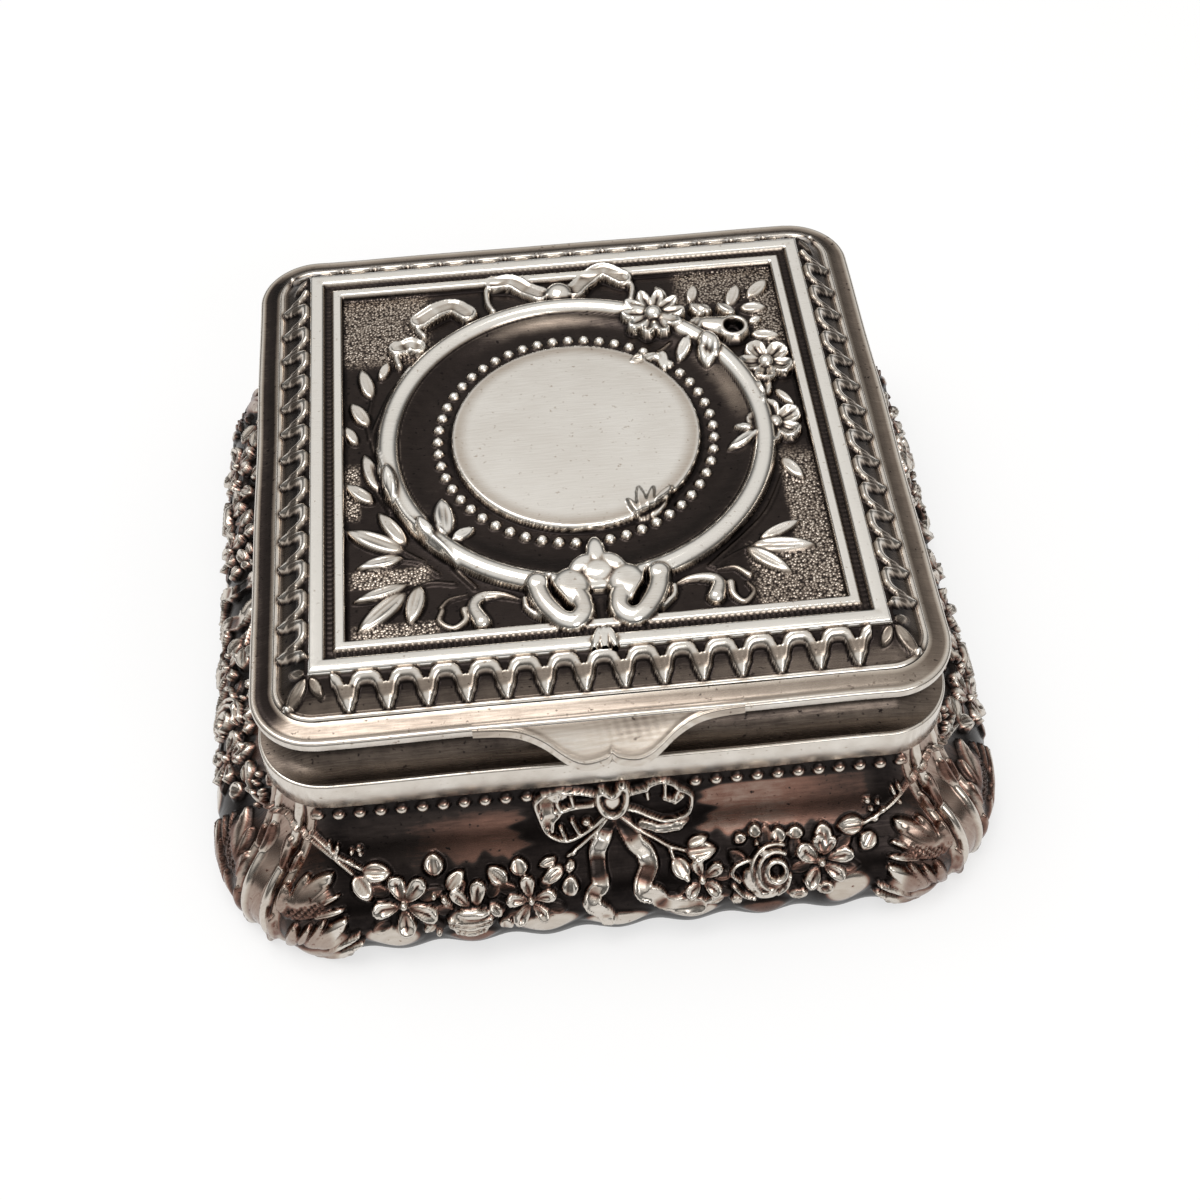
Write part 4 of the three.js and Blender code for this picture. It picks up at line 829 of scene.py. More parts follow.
def hatching(along, drop):
    """Where the lap of the acanthus is hatched, and the lines cut there."""
    beside = np.abs(along) - HATCH_MIDDLE[0]
    across = beside / HATCH_HALVES[0]
    down = (drop - HATCH_MIDDLE[1] - HATCH_SLOPE * beside) / HATCH_HALVES[1]
    band = (1 - smooth(0.8, 1.0, np.abs(across))) * (1 - smooth(0.75, 1.0, np.abs(down)))
    one_way, other_way = (np.cos(2 * math.pi * lean / HATCH_PITCH) for lean in (along + drop, along - drop))
    return band, smooth(0.2, 1, np.maximum(one_way, other_way))


def hatched(height, along, drop):
    """Height with cross-hatching cut into the lap of the acanthus."""
    band, lines = hatching(along, drop)
    return height - HATCH_DEPTH * band * lines


def wall_piece(step, acanthus):
    """The front wall, struck all over, with its plain inner face."""
    columns, rows = round(2 * CORNER_CENTRE / step), round(OGEE_LENGTH / step)
    line = np.linspace(-CORNER_CENTRE, CORNER_CENTRE, columns + 1)
    along, drop = np.meshgrid(line, np.linspace(0, OGEE_LENGTH, rows + 1))
    relief = Relief(along, drop, foot_wave(along, drop))
    strike_wall(relief, acanthus)
    height = capped(hatched(relief.grid(), along, drop))
    half, level, out, up = ogee(drop)
    lift = foot_lift(along, drop)
    face = np.stack([along, -(half + height * out), np.maximum(level + height * up, lift)], -1)
    ways = np.stack([np.zeros_like(out), -out, up], -1)
    inner = np.stack([along, -(half - WALL_SHEET * out), np.maximum(level - WALL_SHEET * up, lift)], -1)
    piece = Piece()
    piece.shell(face, inner, ways, wall_shading(relief, along, drop, round(SHADE_REACH / step)))
    return piece


# Ribs of a corner: distance from its diagonal, half width and rise
RIB, RIB_HALF, RIB_RISE = 1.4, 0.55, 0.65
SIDE_RIB, SIDE_RIB_HALF, SIDE_RIB_RISE = 2.75, 0.5, 0.35
FLUTE_RISE = 0.25


def corner_form(turn, reach, drop):
    """Plain form of a corner: a flute on its diagonal between two ribs, with a lower rib on each side."""
    away = np.abs(turn - math.pi / 4) * reach
    flute = FLUTE_RISE * (1 - smooth(RIB - 0.3, RIB, away))
    rib = RIB_RISE * dome((away - RIB) / RIB_HALF)
    side = SIDE_RIB_RISE * dome((away - SIDE_RIB) / SIDE_RIB_HALF)
    return np.maximum.reduce([flute, rib, side]) * smooth(0, 2.5, drop), away


def corner_piece(step, front_acanthus, side_acanthus):
    """The front right corner, struck where the garlands of its two walls end in acanthus of two rises."""
    rows = round(OGEE_LENGTH / step)
    columns = round((WALL_TOP_HALF + WALL_BULGE - CORNER_CENTRE) * math.pi / 2 / step)
    turn, drop = np.meshgrid(np.linspace(0, math.pi / 2, columns + 1), np.linspace(0, OGEE_LENGTH, rows + 1))
    half, level, out, up = ogee(drop)
    reach = half - CORNER_CENTRE
    form, away = corner_form(turn, reach, drop)
    front = CORNER_CENTRE + reach * turn
    side = -(CORNER_CENTRE + reach * (math.pi / 2 - turn))
    form = np.maximum(form, np.maximum(foot_wave(front, drop), foot_wave(side, drop)))
    reliefs = [Relief(along, drop, form) for along in (front, side)]
    for relief, acanthus in zip(reliefs, (front_acanthus, side_acanthus)):
        strike_wall(relief, acanthus)
    relief = reliefs[0]
    relief.height = np.maximum(relief.height, reliefs[1].height)
    nearer = np.where(turn < math.pi / 4, front, side)
    tarnish = wall_shading(relief, nearer, drop, round(SHADE_REACH / step))
    flute = 1 - smooth(RIB - 0.6, RIB - 0.2, away)
    ribs = 1 - smooth(0.4, 0.65, np.abs(away - RIB))
    sides = 0.7 * (1 - smooth(0.35, 0.65, np.abs(away - SIDE_RIB)))
    plain = np.maximum.reduce([flute, ribs, sides]) * (1 - smooth(0.1, 0.4, relief.rise()))
    tarnish = tarnish * (1 - plain) + (0.22 + 0.24 * flute) * plain
    height = capped(hatched(relief.grid(), nearer, drop))
    lift = np.minimum(foot_lift(front, drop), foot_lift(side, drop))

    def placed(raised):
        spoke = reach + raised * out
        x = CORNER_CENTRE + spoke * np.sin(turn)
        y = -CORNER_CENTRE - spoke * np.cos(turn)
        return np.stack([x, y, np.maximum(level + raised * up, lift)], -1)

    ways = np.stack([out * np.sin(turn), -out * np.cos(turn), up], -1)
    piece = Piece()
    piece.shell(placed(height), placed(np.full_like(height, -WALL_SHEET)), ways, tarnish)
    return piece


# Lid ornament, by place across the box and towards its back.
# Leaves and petals are given as base, tip and width, stems as points, scrolls as points and two widths, pads
# as place, half sizes and turn, and blossoms as middle, reach, number of petals and turn.
LAUREL_STEMS = (
    ((-11.9, -19.4), (-13.6, -17), (-14.6, -15), (-16.6, -12.3), (-19, -9), (-21, -2), (-22, 2.2), (-21, 6),
     (-19.5, 9.6), (-17.6, 12)), ((-14, -18.6), (-16.6, -18.2), (-19.2, -19.3)),
    ((-15.6, -17.2), (-17.5, -15.4), (-19.6, -14.8)), ((-17, -15.4), (-19, -13.7)),
    ((-22.2, 2.4), (-22.4, 5), (-21.8, 8.8)), ((-21.6, -5.4), (-20.2, -8.4)),
)
LAUREL_LEAVES = (
    ((-21.9, 8.4), (-23, 13.4), 1.9), ((-20.9, 11.2), (-19.9, 14), 1.3), ((-22.3, 4.2), (-24.2, 8.2), 2),
    ((-23.6, 1.6), (-24.8, 4.6), 1.4), ((-21.4, -5.4), (-22.9, 0.4), 2), ((-21.9, -7), (-25, -3.8), 1.9),
    ((-20.1, -8), (-20.4, -2.6), 1.9), ((-18.7, -13.1), (-21.6, -8.1), 2),
    ((-18.9, -13.9), (-25.1, -10.3), 2.7), ((-19, -14.6), (-24, -15.6), 1.9),
    ((-18.6, -18.2), (-24.4, -20), 1.7), ((-18.9, -19.1), (-24, -24), 2.6),
    ((-17.5, -18.4), (-18.7, -23.6), 2.3), ((-14.5, -12.8), (-14.8, -7.1), 2.5),
    ((-13.9, -13.5), (-11.5, -11.7), 1.5), ((-16, -13.4), (-17.3, -10.4), 1.5),
)
RIGHT_STEMS = (
    ((12, -19.2), (16, -15.6), (18.5, -13), (20, -10.5), (21.6, -7)),
    ((12.4, -19.4), (14.2, -18.2), (16.4, -17.1)),
)
RIGHT_LEAVES = (
    ((21.5, -5.4), (23.4, -8.9), 1.7), ((17.4, -16.4), (22.2, -14.3), 1.5),
    ((16.4, -17.1), (23.3, -17.8), 2.4), ((15.9, -17.3), (20.2, -21.3), 2.1),
    ((19.3, -1.9), (15.9, -3.9), 1.6), ((19, -1.4), (17, -0.6), 1.1),
)
SPRAY_STEMS = (
    ((10.2, 11.9), (10.9, 12.3), (11.8, 13)), ((20, 18.4), (21, 19.2), (22, 19.9)),
    ((15.2, 19.8), (14.4, 18.8)), ((21.2, 3.6), (20.8, 2.2)),
)
SPRAY_LEAVES = (
    ((14.9, 19.6), (15.9, 22.6), 1.6), ((19.2, 18.4), (20.9, 22.2), 1.9), ((21.6, 19.7), (24.4, 22.5), 2),
    ((20.4, 18.1), (23.7, 17.8), 1.8), ((21.1, 15.5), (22.8, 16.2), 1.2), ((21, 13.7), (24.5, 13), 1.7),
    ((13.9, 13.5), (12.4, 10), 1.8), ((16.4, 13.7), (15.4, 8.5), 2.8), ((10.7, 12.1), (10.7, 8.5), 1.5),
    ((10.6, 11.7), (7, 10), 1.4), ((21.7, 6.7), (21.1, 3.4), 1.9), ((22.4, 4.8), (24.2, 1.9), 1.1),
    ((5.8, -12.9), (4.4, -10.2), 0.9), ((6, -12.9), (5.8, -8.6), 1.2), ((6.3, -12.8), (7.4, -8.7), 0.9),
    ((6.6, -12.6), (9.4, -8.9), 1.3),
)
SPRAY_PETALS = (
    ((15.6, 16.9), (14, 13.3), 2.4), ((16.2, 17.2), (14.8, 19), 1.9), ((17.2, 17.6), (15.6, 18.6), 1.6),
    ((19.8, 17), (17.8, 18.6), 1.7), ((12.2, 20.2), (11.2, 22.2), 1.6), ((14, 18.2), (11.9, 19.8), 1.5),
)
SPRAY_BLOSSOMS = (((21.6, -0.4), 3.1, 5, 0.5), ((22.1, 9.0), 3.1, 5, 0.75))
DAISY = ((10.4, 17.4), 3.7, 10, 0.0)
TRUMPET = ((16.4, 15.6), (17.6, 15.2), (18.8, 14.6))
TRUMPET_MOUTH, TRUMPET_RADIUS, TRUMPET_DEPTH = (19.2, 14.4), 1.4, 1.3
BOW_KNOB, BOW_KNOB_RADIUS = (0, 22.6), 1.7
LID_RIBBONS = (
    (((-2.2, 22.6), (-3.6, 23.8), (-5.2, 25), (-7.4, 25.3)), 2.5),
    (((1.9, 22.8), (3.4, 24.7), (5.4, 25.8), (7.6, 24.4)), 2.6),
    (((-10.7, 20.4), (-12.3, 22), (-14.2, 21.2), (-16.2, 19.9)), 2.6),
    (((-18.8, 15.6), (-17.6, 16), (-16.6, 15.8)), 2.4),
)
LID_RIBBON_RISES = (1.2, 0.9, 1.3, 1.0)
LID_RIBBON_EDGES = (
    ((-7.6, 25.6), (-8.3, 24), (-8.2, 22), (-7.7, 20.7)), ((7.8, 24.8), (8.6, 23), (8.2, 20.8)),
    ((-16.6, 20), (-16.4, 18.6), (-15.8, 17.6)), ((-19, 16), (-19, 14.4), (-18.7, 13)),
    ((-10.7, 20.6), (-10.4, 19.6)),
)
FRONT_SCROLLS = (
    (((-7.5, -21.4), (-9.4, -20.6), (-11.4, -20.7), (-12.2, -21.9), (-11.5, -23.9)), 0.4, 2),
    (((7.8, -21.5), (9.6, -20.7), (11.6, -20.8), (12.5, -21.6), (12, -23.3)), 0.4, 2),
    (((-13.2, -22.1), (-13.1, -23.4), (-14.4, -24.3), (-15.7, -23.3), (-15.4, -22)), 0.9, 0.7),
    (((13.7, -21.7), (13.8, -23.2), (14.8, -24.2), (15.9, -23), (15.4, -21.8)), 1, 0.5),
    (((12.6, -19.8), (14.4, -19.7), (15.7, -20.9)), 0.4, 0.9),
    (((-12.8, -20.2), (-14.6, -20.6), (-15.5, -21.6)), 0.4, 0.6),
)
VOLUTE_HOOK = (
    (-1.9, -21.6), (-1.45, -22.9), (-1.45, -24.2), (-2.4, -25.2), (-3.5, -24.8), (-4.6, -23.5), (-5.3, -22.2),
    (-5.65, -21), (-5.7, -20.2),
)
VOLUTE_WIDTH = 2.45
VOLUTE_PADS = (((-2.4, -20.9), (2.1, 2.5), -8), ((-5.7, -20.2), (1.3, 1.3), 20))
VOLUTE_RIM = ((-7.1, -21.6), (-7.0, -22.6), (-6.4, -23.4), (-5.6, -24.1))
VOLUTE_SLOT = ((-4.5, -19.6), (-4.3, -21.0), (-3.6, -22.4), (-2.8, -23.9))
VOLUTE_MIRROR = 0.45
PALMETTE = (
    ((0.5, -17.2), (1.1, 2.4)), ((-1, -18.5), (1.8, 1.2), 40), ((2, -18.5), (1.8, 1.2), -40),
    ((0.5, -19.3), (2, 1.6)),
)
SHELL = (
    ((0.4, -26.2), (0.2, -29.9), 1.2), ((0, -26.4), (-0.9, -29.3), 1.1), ((0.8, -26.4), (1.4, -29.3), 1.1),
)

# Patches of the lid's ground that are matted with a fine punch: middle and reach
MATTED_PATCHES = (
    ((-20.5, 19.5), (5.5, 5.8)), ((20, 22.5), (6.5, 3)), ((23.4, 17), (1.8, 5)), ((21.5, -21), (5.5, 4.6)),
    ((23.3, -12), (2.2, 8)), ((-20, -24.2), (4.5, 1.4)), ((-20.5, -17), (4.2, 1.2)), ((-24.3, -5), (1, 4)),
)


def lid_form(x, y):
    """Plain mouldings of the lid: frame, ribbed channel, fillet, sunk field and medallion."""
    square = np.maximum(np.abs(x), np.abs(y))
    along = np.where(np.abs(x) > np.abs(y), y, x)
    radius = np.hypot(x, y)
    level = np.full_like(x, FIELD)
    front = (y < 0) & (np.abs(y) > np.abs(x))
    rib_rise = np.where(front, FRONT_CHANNEL_RIB_RISE, CHANNEL_RIB_RISE)
    ribs = rib_rise * np.cos(2 * math.pi * along / CHANNEL_RIB_PITCH)
    fillet = smooth(FIELD_HALF - EDGE, FIELD_HALF, square)
    level += fillet * (FIELD_DEPTH - FILLET_DROP)
    channel = smooth(FILLET_HALF, FILLET_HALF + 0.25, square)
    channel = channel * (1 - smooth(CHANNEL_HALF - 0.25, CHANNEL_HALF, square))
    level -= channel * (CHANNEL_DEPTH - FILLET_DROP - ribs)
    level += FILLET_DROP * smooth(CHANNEL_HALF - 0.2, CHANNEL_HALF, square)
    frame_middle = (CHANNEL_HALF + FRAME_HALF) / 2
    crown = FRAME_CROWN * np.clip(1 - ((square - frame_middle) / FRAME_CROWN_HALF) ** 2, 0, 1)
    level += crown - FRAME_FALL * smooth(FRAME_HALF - 0.1, FRAME_HALF + 0.25, square)

    ring = RING_HALF_WIDTH**2 - (radius - RING_RADIUS) ** 2
    ring_level = FRAME_TOP + RING_RISE - RING_HALF_WIDTH + np.sqrt(np.clip(ring, 0, None))
    level = np.where(ring > 0, np.maximum(level, ring_level), level)
    bank = RING_BANK * np.exp(-np.clip(radius - RING_RADIUS - 0.6, 0, None) / 0.5)
    level = np.maximum(level, FIELD + bank * (radius > RING_RADIUS))
    inside = radius < RING_RADIUS - 0.7
    cove = SEAT + COVE_RISE * smooth(COVE_INNER, RING_RADIUS - RING_HALF_WIDTH, radius) ** 2
    level = np.where(inside, np.maximum(cove, np.where(ring > 0, ring_level, -np.inf)), level)
    disc = FRAME_TOP + DISC_RISE + DISC_CROWN * (1 - (radius / DISC_RADIUS) ** 2)
    rises = 1 - smooth(DISC_RADIUS - 0.25, DISC_RADIUS + 0.1, radius)
    return level * (1 - rises) + disc * rises


def mirrored(points, sign):
    """Points as they are, or on the other side of the volutes' axis if the sign is negative."""
    return [(VOLUTE_MIRROR + sign * (x - VOLUTE_MIRROR), y) for x, y in points]


def strike_lid(relief):
    """Strikes the flowers, leaves, bow and scrolls of the lid."""
    for k in range(BEAD_COUNT):
        angle = 2 * math.pi * k / BEAD_COUNT
        relief.bead((BEAD_CIRCLE * math.cos(angle), BEAD_CIRCLE * math.sin(angle)), BEAD_RADIUS, level=SEAT)
    for points in LAUREL_STEMS + RIGHT_STEMS + SPRAY_STEMS:
        relief.stem(points, width=0.6, end_width=0.5)
    for leaf in LAUREL_LEAVES + RIGHT_LEAVES + SPRAY_LEAVES:
        relief.leaf(*leaf)
    for petal in SPRAY_PETALS:
        relief.leaf(*petal, rise=1.3, point=0.5, cup=0.25, level=FIELD)
    for blossom in SPRAY_BLOSSOMS:
        relief.blossom(*blossom, rise=1.15, level=FIELD)
    relief.blossom(*DAISY, rise=1.0, level=FIELD + 0.85)
    relief.stem(TRUMPET, width=2.6, end_width=3.8, rise=0.75, level=FIELD + 0.2)
    round_mouth = np.array([(math.cos(a), math.sin(a)) for a in np.linspace(0, 2 * math.pi, 13)])
    relief.stem(TRUMPET_MOUTH + TRUMPET_RADIUS * round_mouth, width=0.8, level=FIELD + 1.0)
    for points, width in LID_RIBBONS:
        relief.ribbon(points, width, LID_RIBBON_RISES, level=FIELD)
    for points in LID_RIBBON_EDGES:
        relief.stem(points, width=0.7, level=FIELD + 0.5)
    relief.bead(BOW_KNOB, BOW_KNOB_RADIUS, rise=0.8, level=FIELD + 0.3)
    for scroll in FRONT_SCROLLS:
        relief.stem(*scroll, rise=1.0, level=FIELD + 0.1)
    for sign in (1, -1):
        relief.stem(mirrored(VOLUTE_HOOK, sign), VOLUTE_WIDTH, rise=1.0, level=FIELD + 0.55)
        for place, halves, turn in VOLUTE_PADS:
            relief.pad(mirrored([place], sign)[0], halves, sign * turn, rise=1.2, level=FIELD + 0.65)
        relief.stem(mirrored(VOLUTE_RIM, sign), width=0.6, level=FIELD + 0.5)
        relief.groove(mirrored(VOLUTE_SLOT, sign), width=0.4, end_width=1.15, depth=1.1)
    for pad in PALMETTE:
        relief.pad(*pad, rise=1.05, level=FIELD + 0.85)
    for ray in SHELL:
        relief.leaf(*ray, rise=0.55, point=0.6, cup=0, lean=0, level=FRAME_TOP - 0.1)


def mouth_reach(x, y):
    """Distance from the middle of the trumpet flower's mouth, which is 1 on its rim."""
    return np.hypot(x - TRUMPET_MOUTH[0], y - TRUMPET_MOUTH[1]) / TRUMPET_RADIUS


def matted(x, y):
    """How far the lid's ground is matted, from 0 to 1."""
    share = np.zeros_like(x)
    for (x0, y0), (reach_x, reach_y) in MATTED_PATCHES:
        away = np.maximum(np.abs(x - x0) / reach_x, np.abs(y - y0) / reach_y)
        share = np.maximum(share, 1 - smooth(0.75, 1.15, away))
    return share


def lid_shading(x, y, relief, cells):
    """Tarnish of the struck lid with painted glints in its cove, and where its ground is matted."""
    height, rise = relief.grid(), relief.rise()
    square, radius = np.maximum(np.abs(x), np.abs(y)), np.hypot(x, y)
    hollow = smooth(-0.06, 0.2, blurred(height, cells) - height)
    dished = smooth(0.02, 0.16, blurred(height, cells // 3) - height) * smooth(0.15, 0.4, rise)
    bare = 1 - smooth(0.1, 0.4, rise)
    in_field = 1 - smooth(FIELD_HALF - 0.4, FIELD_HALF - 0.1, square)
    in_field = in_field * smooth(RING_RADIUS + 0.5, RING_RADIUS + 1.3, radius)
    ground = in_field * (0.86 - 0.76 * smooth(0.2, 0.6, height - FIELD))
    cove = 1 - smooth(RING_RADIUS - 1.5, RING_RADIUS - 0.95, radius)
    cove = cove * smooth(DISC_RADIUS - 0.15, DISC_RADIUS + 0.05, radius)
    # The cove is lightened at its back and its right: painted glints.
    at_back, at_right = np.exp(-(((x + 2) / 6) ** 2)) * (y > 0), np.exp(-(((y - 5) / 4) ** 2)) * (x > 0)
    painted_glint = 0.26 * smooth(16.2, 18.4, radius) * (at_back + at_right)
    cove = cove * (0.85 - painted_glint) * (1 - smooth(0.1, 0.5, rise))
    channel = smooth(FILLET_HALF + 0.02, FILLET_HALF + 0.2, square)
    channel = channel * (1 - smooth(CHANNEL_HALF - 0.2, CHANNEL_HALF - 0.02, square))
    tarnish = np.maximum.reduce([ground, cove, 0.82 * channel * bare, hollow, 0.7 * dished])
    disc = 1 - smooth(DISC_RADIUS - 0.7, DISC_RADIUS - 0.1, radius)
    disc_tarnish = 0.04 + 0.22 * smooth(DISC_RADIUS - 2.2, DISC_RADIUS - 0.6, radius)
    tarnish = tarnish * (1 - disc) + disc_tarnish * disc
    return np.clip(tarnish, 0, 1), matted(x, y) * in_field * bare


def add_border(piece, step):
    """Adds the sloping border with its arches and darts, and the bead along its rim."""
    rows = round(BORDER_SLOPE_LENGTH * (PANEL_HALF - FRAME_HALF) / step)
    share = np.linspace(-BORDER_TUCK, 1, rows + 1)
    halves = FRAME_HALF + share * (PANEL_HALF - FRAME_HALF)
    radii = BORDER_CORNER_RADIUS + share * (PANEL_HALF - CORNER_CENTRE - BORDER_CORNER_RADIUS)
    radii = np.clip(radii, BORDER_LEAST_RADIUS, None)
    signs, ways, shares = square_plan(round(2 * CORNER_CENTRE / step))
    plan = (halves - radii)[:, None, None] * signs + radii[:, None, None] * ways
    x, y = plan[..., 0], plan[..., 1]
    along = np.where(np.abs(x) > np.abs(y), y, x)
    out = np.maximum(np.abs(x), np.abs(y)) - FRAME_HALF
    on_side = (shares < 1) & (shares > -1)

    top = FRAME_TOP - BORDER_TOP_DROP
    slope_start, slope_end = FRAME_HALF + BORDER_FLAT, BORDER_BEAD_HALF - BORDER_FLAT
    fall = np.clip((halves - slope_start) / (slope_end - slope_start), 0, 1)
    level = top + (BORDER_RIM - top) * fall
    bead = BORDER_BEAD_RADIUS * dome((halves - BORDER_BEAD_HALF) / BORDER_BEAD_RADIUS)
    form = np.broadcast_to((level + bead)[:, None], x.shape)

    middle = np.round(along / ARCH_PITCH) * ARCH_PITCH
    offset = np.abs(along - middle)
    legs_and_crown = [to_segment(offset, out, *ends)[0] for ends in zip(ARCH_LINE, ARCH_LINE[1:])]
    stroke = np.minimum.reduce(legs_and_crown) / ARCH_STROKE
    arch = ARCH_RISE * dome(stroke)
    dart_half = DART_HALF * dome((out - DART_PLACE) / DART_REACH)
    dart_side = (ARCH_PITCH / 2 - offset) / np.maximum(dart_half, TINY)
    dart = ARCH_RISE * dome(dart_side) * smooth(0.05, 0.3, dart_half)
    kept = (np.abs(along) < ARCH_END) & on_side
    ornament = np.where(kept, np.maximum(arch, dart), 0)
    relief = Relief(x, y, form)
    for sign_x in (-1, 1):
        for sign_y in (-1, 1):
            corner = np.array([sign_x, sign_y])
            relief.leaf(*(place * corner for place in CORNER_LEAF), width=1.7, rise=0.6)
            for turn in (np.array([0, 1]), np.array([1, 0])):
                base, tip = (place * corner + turn * shift * corner for place, shift in SIDE_LEAF)
                relief.leaf(base, tip, width=1.2, rise=0.5)
    height = np.maximum(form + ornament, relief.grid())

    rise = height - form
    hollow = smooth(-0.06, 0.18, blurred(rise, round(0.7 / step)) - rise)
    inside = (1 - smooth(BORDER_BEAD_HALF - 0.36, BORDER_BEAD_HALF - 0.2, halves))[:, None]
    ground = (0.7 + 0.22 * (1 - smooth(0.6, 2.6, out))) * (1 - smooth(0.15, 0.55, rise)) * inside
    # The border is dulled all round, and more on its sides and back than at its front: painted shade on the
    # sides and back.
    front = (y < 0) & (np.abs(y) > np.abs(x))
    dull_and_side_shade = np.where(front, 0.27, 0.36) * inside * (1 - 0.6 * smooth(0.5, 0.7, rise))
    legs = 0.52 * smooth(1.1, 1.6, out) * (1 - smooth(2.2, 2.7, out)) * inside
    tarnish = np.maximum.reduce([ground, hollow * 0.95, dull_and_side_shade, legs])
    points = np.stack([x, y, height], -1)
    piece.sheet(points, (0, 0, 1), tarnish, closed=True)


def lid_piece(step):
    """The struck lid panel: top, border, skirt and plain underside."""
    edge = FRAME_HALF + 0.3
    line = np.linspace(-edge, edge, round(2 * edge / step) + 1)
    x, y = np.meshgrid(line, line)
    relief = Relief(x, y, lid_form(x, y))
    strike_lid(relief)
    tarnish, matting = lid_shading(x, y, relief, round(SHADE_REACH / step))
    reach = mouth_reach(x, y)
    height = relief.grid() - TRUMPET_DEPTH * (1 - smooth(0.5, 0.85, reach))
    tarnish = np.maximum(tarnish, 1 - smooth(0.7, 0.95, reach))
    piece = Piece()
    piece.sheet(np.stack([x, y, height], -1), (0, 0, 1), tarnish, matting)
    add_border(piece, step)

    skirt = [(PANEL_HALF, BORDER_RIM), (PANEL_HALF, PANEL_BOTTOM + 0.05), (PANEL_FOOT_HALF, PANEL_BOTTOM)]
    skirt += [(PANEL_INNER_HALF, CEILING - 0.15), (CEILING_HALF, CEILING), (CORNER_CENTRE + 0.05, CEILING)]
    points = square_ring(skirt)
    ways = np.concatenate([square_plan(SIDE_STEPS)[1], np.full((len(points[0]), 1), -1.0)], -1)
    piece.sheet(points, ways, UNDERSIDE_TARNISH, closed=True)
    piece.plate(CORNER_CENTRE + 0.05, CEILING, -1, UNDERSIDE_TARNISH)
    return piece


def thumbpiece():
    """The double-lobed thumbpiece: a thin tab that flows over the flange's edge to a raised lip."""
    across = np.linspace(-THUMB_HALF, THUMB_HALF, THUMB_COLUMNS)
    outline = trail(THUMB_OUTLINE, 12)
    reach = np.interp(np.abs(across), outline[:, 0], outline[:, 1])
    share = np.linspace(0, 1, THUMB_ROWS)[:, None]
    run = share * (reach + THUMB_ROOT) - THUMB_ROOT
    from_edge = reach - run
    lip = THUMB_LIP * np.exp(-(((from_edge - 0.3) / 0.2) ** 2))
    slope = THUMB_SLOPE * np.log1p(np.exp(THUMB_BEND * (run - 0.1))) / THUMB_BEND
    top = FLANGE_TOP + 0.07 - slope + lip - 0.3 * (1 - smooth(0, 0.25, from_edge)) ** 2
    under = np.minimum(top - THUMB_SHEET * (0.4 + 0.6 * smooth(0, 0.6, from_edge)), FLANGE_TOP - 0.4)
    root = -FLANGE_HALF + 0.1
    x = np.broadcast_to(across, run.shape)
    upper = np.stack([x, root - run, top], -1)
    lower = np.stack([x, root - run, under], -1)[::-1]
    streaks = np.sin(15 * run + 1.5 * np.sin(0.5 * x)) * np.sin(0.8 * x + 4 * run + 1)
    blots = np.sin(3.7 * x + 6 * run) * np.sin(2.9 * x - 8 * run)
    worn = np.exp(-(((x - 2.5) / 3.2) ** 2)) * (1 - smooth(1.2, 2.4, run))
    # The tab darkens towards its root: painted shade where it meets the flange.
    shade = 0.22 + 0.04 * streaks + 0.2 * worn * (0.6 + 0.5 * blots) + 0.26 * (1 - smooth(-0.6, 1.2, run))
    shade += 0.22 * np.exp(-(((from_edge - 0.75) / 0.2) ** 2))
    points = np.concatenate([upper, lower])
    sides = (upper, (0, -0.6, 1.0)), (lower, (0, -0.2, -1.0))
    ways = np.concatenate([np.broadcast_to(way, side.shape) for side, way in sides])
    piece = Piece()
    piece.sheet(points, ways, np.clip(np.concatenate([shade, shade[::-1]]), 0.1, 1))
    return piece


def flange_piece():
    """The lid's flange: a rolled edge and a shallow cove up to the panel."""
    profile = [(FLANGE_INNER_HALF, FLANGE_BOTTOM), (FLANGE_HALF - 0.3, FLANGE_BOTTOM)]
    profile += [(FLANGE_HALF - 0.08, FLANGE_BOTTOM + 0.15)]
    profile += arc((FLANGE_HALF - 0.42, FLANGE_TOP - 0.38), (0.42, 0.42), -0.2, math.pi / 2, 6)
    profile += [(FLANGE_HALF - 0.75, FLANGE_TOP - 0.05), (FLANGE_HALF - 1.3, FLANGE_TOP + 0.06)]
    profile += [(FLANGE_HALF - 1.9, FLANGE_TOP + 0.3), (PANEL_HALF + 0.05, BORDER_RIM - 0.02)]
    profile += [(PANEL_HALF + 0.02, FLANGE_TOP), (FLANGE_INNER_HALF, FLANGE_TOP)]

    def tarnish(half, level, ways):
        in_cove = smooth(PANEL_HALF, PANEL_HALF + 0.3, half)
        in_cove = in_cove * (1 - smooth(FLANGE_HALF - 0.8, FLANGE_HALF - 0.45, half))
        # The cove is darker on the left side, and a little on the right, than at the front and back: painted
        # shade.
        aside = smooth(0.5, 0.9, -ways[:, 0]) + 0.35 * smooth(0.5, 0.9, ways[:, 0])
        return FLANGE_TARNISH + (0.33 + 0.32 * aside) * in_cove * (level > FLANGE_TOP - 0.2)

    return moulding(profile, tarnish, LONG_SIDE_STEPS, WAVER)


def band_piece():
    """The plain band, with softened arrises."""
    inner = BAND_HALF - BAND_SHEET
    profile = [(inner, BAND_BOTTOM), (BAND_HALF, BAND_BOTTOM), (BAND_HALF, BAND_TOP), (inner, BAND_TOP)]
    return moulding(rounded(profile, 0.3), lambda half, level, ways: BAND_TARNISH, LONG_SIDE_STEPS, WAVER)


